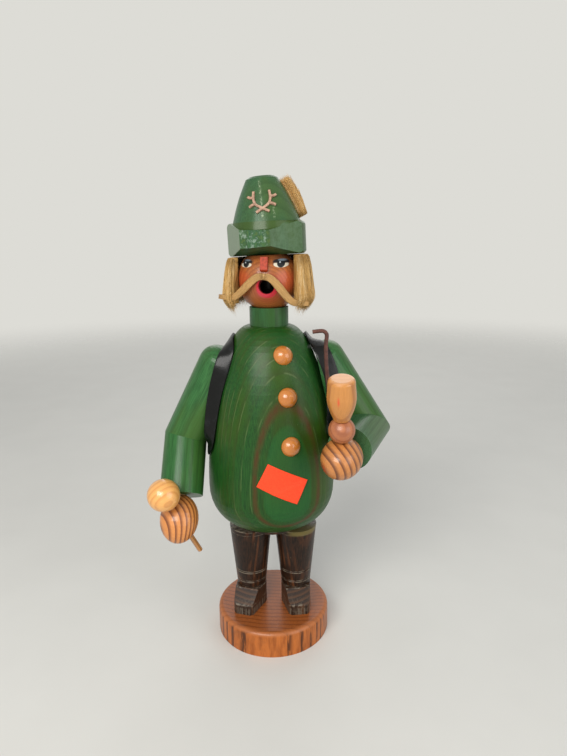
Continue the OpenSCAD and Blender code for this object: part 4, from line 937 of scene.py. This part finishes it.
def tuft_place(points):
    """The tuft's frame: its axis lies along the crown's right flank seen from the front."""
    side = math.atan((CROWN_D - CROWN_TOP_D) / 2 / CROWN_H)
    c, s = math.cos(side), math.sin(side)
    x, y, z = points[..., 0], points[..., 1], points[..., 2]
    tipped = np.stack([x, c * y + s * z, -s * y + c * z], -1) + np.array([0, -CROWN_D / 2 - TUFT_OUT, 1])
    return crown_place(spin(tipped, TUFT_HEADING))


def make_tuft(finish):
    """A tuft of stiff hair: a slim core and hairs that fan out towards the top."""
    v = np.linspace(0, 1, 40)[:, None]
    t = np.linspace(0, 2 * np.pi, 32, endpoint=False)[None]
    half = 2.8 * (np.sin(np.pi * v.clip(0.02, 0.98)) ** 0.35)
    rings = np.stack([half * np.cos(t), half * np.sin(t) * 0.9 - 0.5, 1.2 + 18 * v + 0 * t], -1)
    points, faces = tube(tuft_place(rings))
    numbers = {"tone": chance.rand(len(points)) * 0.5, "tip": np.full(len(points), 0.4)}
    piece("tuft_core", points, faces, finish, "head_body", "fur", ("hat_tuft",), numbers)
    n, s = 5200, 6
    a = chance.uniform(0, 2 * np.pi, n)
    r = TUFT_R * np.sqrt(chance.uniform(0.2, 1.15, n))
    low = np.where(chance.rand(n) < 0.45, chance.uniform(0, 2.2, n), chance.uniform(1, 12, n))
    long = np.minimum(chance.uniform(8, 14, n), chance.normal(20.6, 0.7, n) - low)
    t = np.linspace(0, 1, s)[None]
    z = low[:, None] + long[:, None] * t
    fan = 0.84 + 0.24 * np.sin(np.pi * (z / 20).clip(0, 1))
    out = (fan + 0.17 * t ** 1.5 * chance.normal(0.3, 1, n)[:, None]) * r[:, None]
    bend = chance.normal(0, 0.6, n)[:, None] * t ** 2
    local = np.stack([out * np.cos(a)[:, None] + bend, out * np.sin(a)[:, None] * 0.92 - 0.45, z], -1)
    routes = tuft_place(local)
    points, faces = strands(routes, chance.uniform(0.06, 0.11, n), level_out(routes))
    shade = chance.rand(40)[(a * 6).astype(int) % 40]
    piece("tuft_hairs", points, faces, finish, "head_body", "fur", (), hair_numbers(n, s, shade))


# Paper plate on the belly
def make_paper():
    """A blank paper plate bent round the belly: its flat grid is turned, then wrapped by arc length onto
    the coat. One corner lifts off a little."""
    f = Finish("orange_paper", 0.55, 0.0, specular=0.3)
    fibres = f.noise(f.place(), 1.5, 5, 0.7)
    f.set(Base_Color=f.mix("ff4a22", "f2401c", fibres.rise(0.35, 0.65)), Roughness=0.5 + fibres * 0.15)
    f.bump(fibres, 0.03, 0.5)
    half_w, half_h = PAPER_W / 2, PAPER_H / 2
    b, a = np.meshgrid(np.linspace(-half_h, half_h, 25), np.linspace(-half_w, half_w, 41), indexing="ij")
    turn = math.radians(-27)
    along, up = a * math.cos(turn) - b * math.sin(turn), a * math.sin(turn) + b * math.cos(turn)
    h = 33.4 + up
    angle = math.radians(10.8) + along / coat_radius(h)
    corner = ((a - half_w + half_h - b).clip(-4, 0) + 4) / 4

    def layer(gap):
        """The grid at a gap from the coat."""
        r = coat_radius(h) + gap
        return np.stack([r * np.sin(angle), -r * np.cos(angle), COAT_Z + h], -1)

    lift = 0.12 + 0.35 * corner ** 2
    lower, upper = layer(lift), layer(lift + PAPER_T)
    points, faces = tube(np.concatenate([upper, lower[:, ::-1]], 1))
    piece("price_paper", points, faces, f, "coat_body")


# Camera, floor and lights
def look_from(obj, place, target):
    """Puts an object at place and points its -Z axis at target."""
    obj.location = place
    obj.rotation_euler = (Vector(target) - Vector(place)).to_track_quat("-Z", "Y").to_euler()


def make_camera():
    """The photograph's camera, placed by fitting the turned parts' outlines: it looks down and rolls a
    little."""
    camera = bpy.data.objects.new("camera", bpy.data.cameras.new("camera"))
    camera.data.lens, camera.data.sensor_width = 27.05, 36.0
    camera.data.clip_start = 0.01
    look_down = Matrix.Rotation(math.radians(90 - 13.43), 4, "X")
    roll = Matrix.Rotation(math.radians(-0.556), 4, "Z")
    camera.matrix_world = Matrix.Translation((0.00724, -0.29517, 0.21811)) @ look_down @ roll
    SCENE.collection.objects.link(camera)
    SCENE.camera = camera


def make_floor():
    """A pale disc under the figure that fades out before its edge."""
    a = np.linspace(0, 2 * np.pi, 96, endpoint=False)
    r = np.array([0, 0.1, 0.3, 0.7, 1.2, 2.0])[:, None]
    disc = np.stack([r * np.cos(a), r * np.sin(a), 0 * r * a], -1).reshape(-1, 3)
    mesh = bpy.data.meshes.new("floor")
    mesh.from_pydata(disc.tolist(), [], sheet_faces(6, 96).tolist())
    floor = bpy.data.objects.new("floor", mesh)
    floor.location.z = -0.0001
    SCENE.collection.objects.link(floor)
    f = Finish("pale_floor", 0.7, specular=0.2)
    p = f.place()
    x, y, _ = f.axes(p)
    tint = f.noise(p, 0.02, 3)
    f.set(Base_Color=f.mix("d9d8d2", "d2d1cb", tint), Alpha=((x * x + y * y) ** 0.5).rise(1500, 500))
    mesh.materials.append(f.material)


def make_world():
    """Soft light from all round. The camera, reflections and rays through the floor see a plain pale
    ground."""
    world = bpy.data.worlds.new("studio")
    SCENE.world = world
    world.use_nodes = True
    tree = world.node_tree
    lit, seen = tree.nodes["Background"], tree.nodes.new("ShaderNodeBackground")
    lit.inputs["Color"].default_value, lit.inputs["Strength"].default_value = paint("f2f4f7"), 0.42
    seen.inputs["Color"].default_value = paint("dddcd6")
    path, join = tree.nodes.new("ShaderNodeLightPath"), tree.nodes.new("ShaderNodeMixShader")
    shows = path.outputs["Is Camera Ray"]
    for ray in ("Is Glossy Ray", "Is Transmission Ray"):
        either = tree.nodes.new("ShaderNodeMath")
        either.operation = "MAXIMUM"
        tree.links.new(shows, either.inputs[0])
        tree.links.new(path.outputs[ray], either.inputs[1])
        shows = either.outputs[0]
    tree.links.new(shows, join.inputs[0])
    tree.links.new(lit.outputs[0], join.inputs[1])
    tree.links.new(seen.outputs[0], join.inputs[2])
    tree.links.new(join.outputs[0], tree.nodes["World Output"].inputs["Surface"])


def make_lamps():
    """Three broad lamps: the key light from the front left and above, a fill light and one behind."""
    for name, place, target, width, depth, power, colour in (
            ("key", (-0.3, -0.74, 0.62), (0, 0, 0.13), 0.6, 0.4, 8.0, (1.0, 0.98, 0.95)),
            ("fill", (0.7, -0.55, 0.36), (0, 0, 0.12), 0.6, 0.6, 3.0, (0.96, 0.98, 1.0)),
            ("back", (0.1, 0.75, 0.6), (0, 0, 0.1), 0.8, 0.5, 1.8, (1.0, 1.0, 1.0))):
        data = bpy.data.lights.new(name, "AREA")
        data.shape, data.size, data.size_y, data.energy, data.color = "RECTANGLE", width, depth, power, colour
        lamp = bpy.data.objects.new(name, data)
        SCENE.collection.objects.link(lamp)
        look_from(lamp, place, target)


dress_nodes()
make_straps(leather_finish("strap_leather", "191b1e", "050606", 0.25, 2.4))
make_bag(cloth_finish("rucksack_canvas", "6d6140", "4c4429"))
make_flap(leather_finish("flap_leather", "5d4429", "382513", 0.15, 1.6))
make_hair(fur_finish("tan_fur", "d4a964", "96703a", "f0dcb0"))
make_moustache(fur_finish("moustache_fur", "bd965e", "8a683a", "dcc294"))
make_tuft(fur_finish("tuft_fur", "d2a868", "a87e44", "ead0a0"))
make_paper()
make_camera()
make_floor()
make_world()
make_lamps()
SCENE.view_settings.view_transform = "Standard"
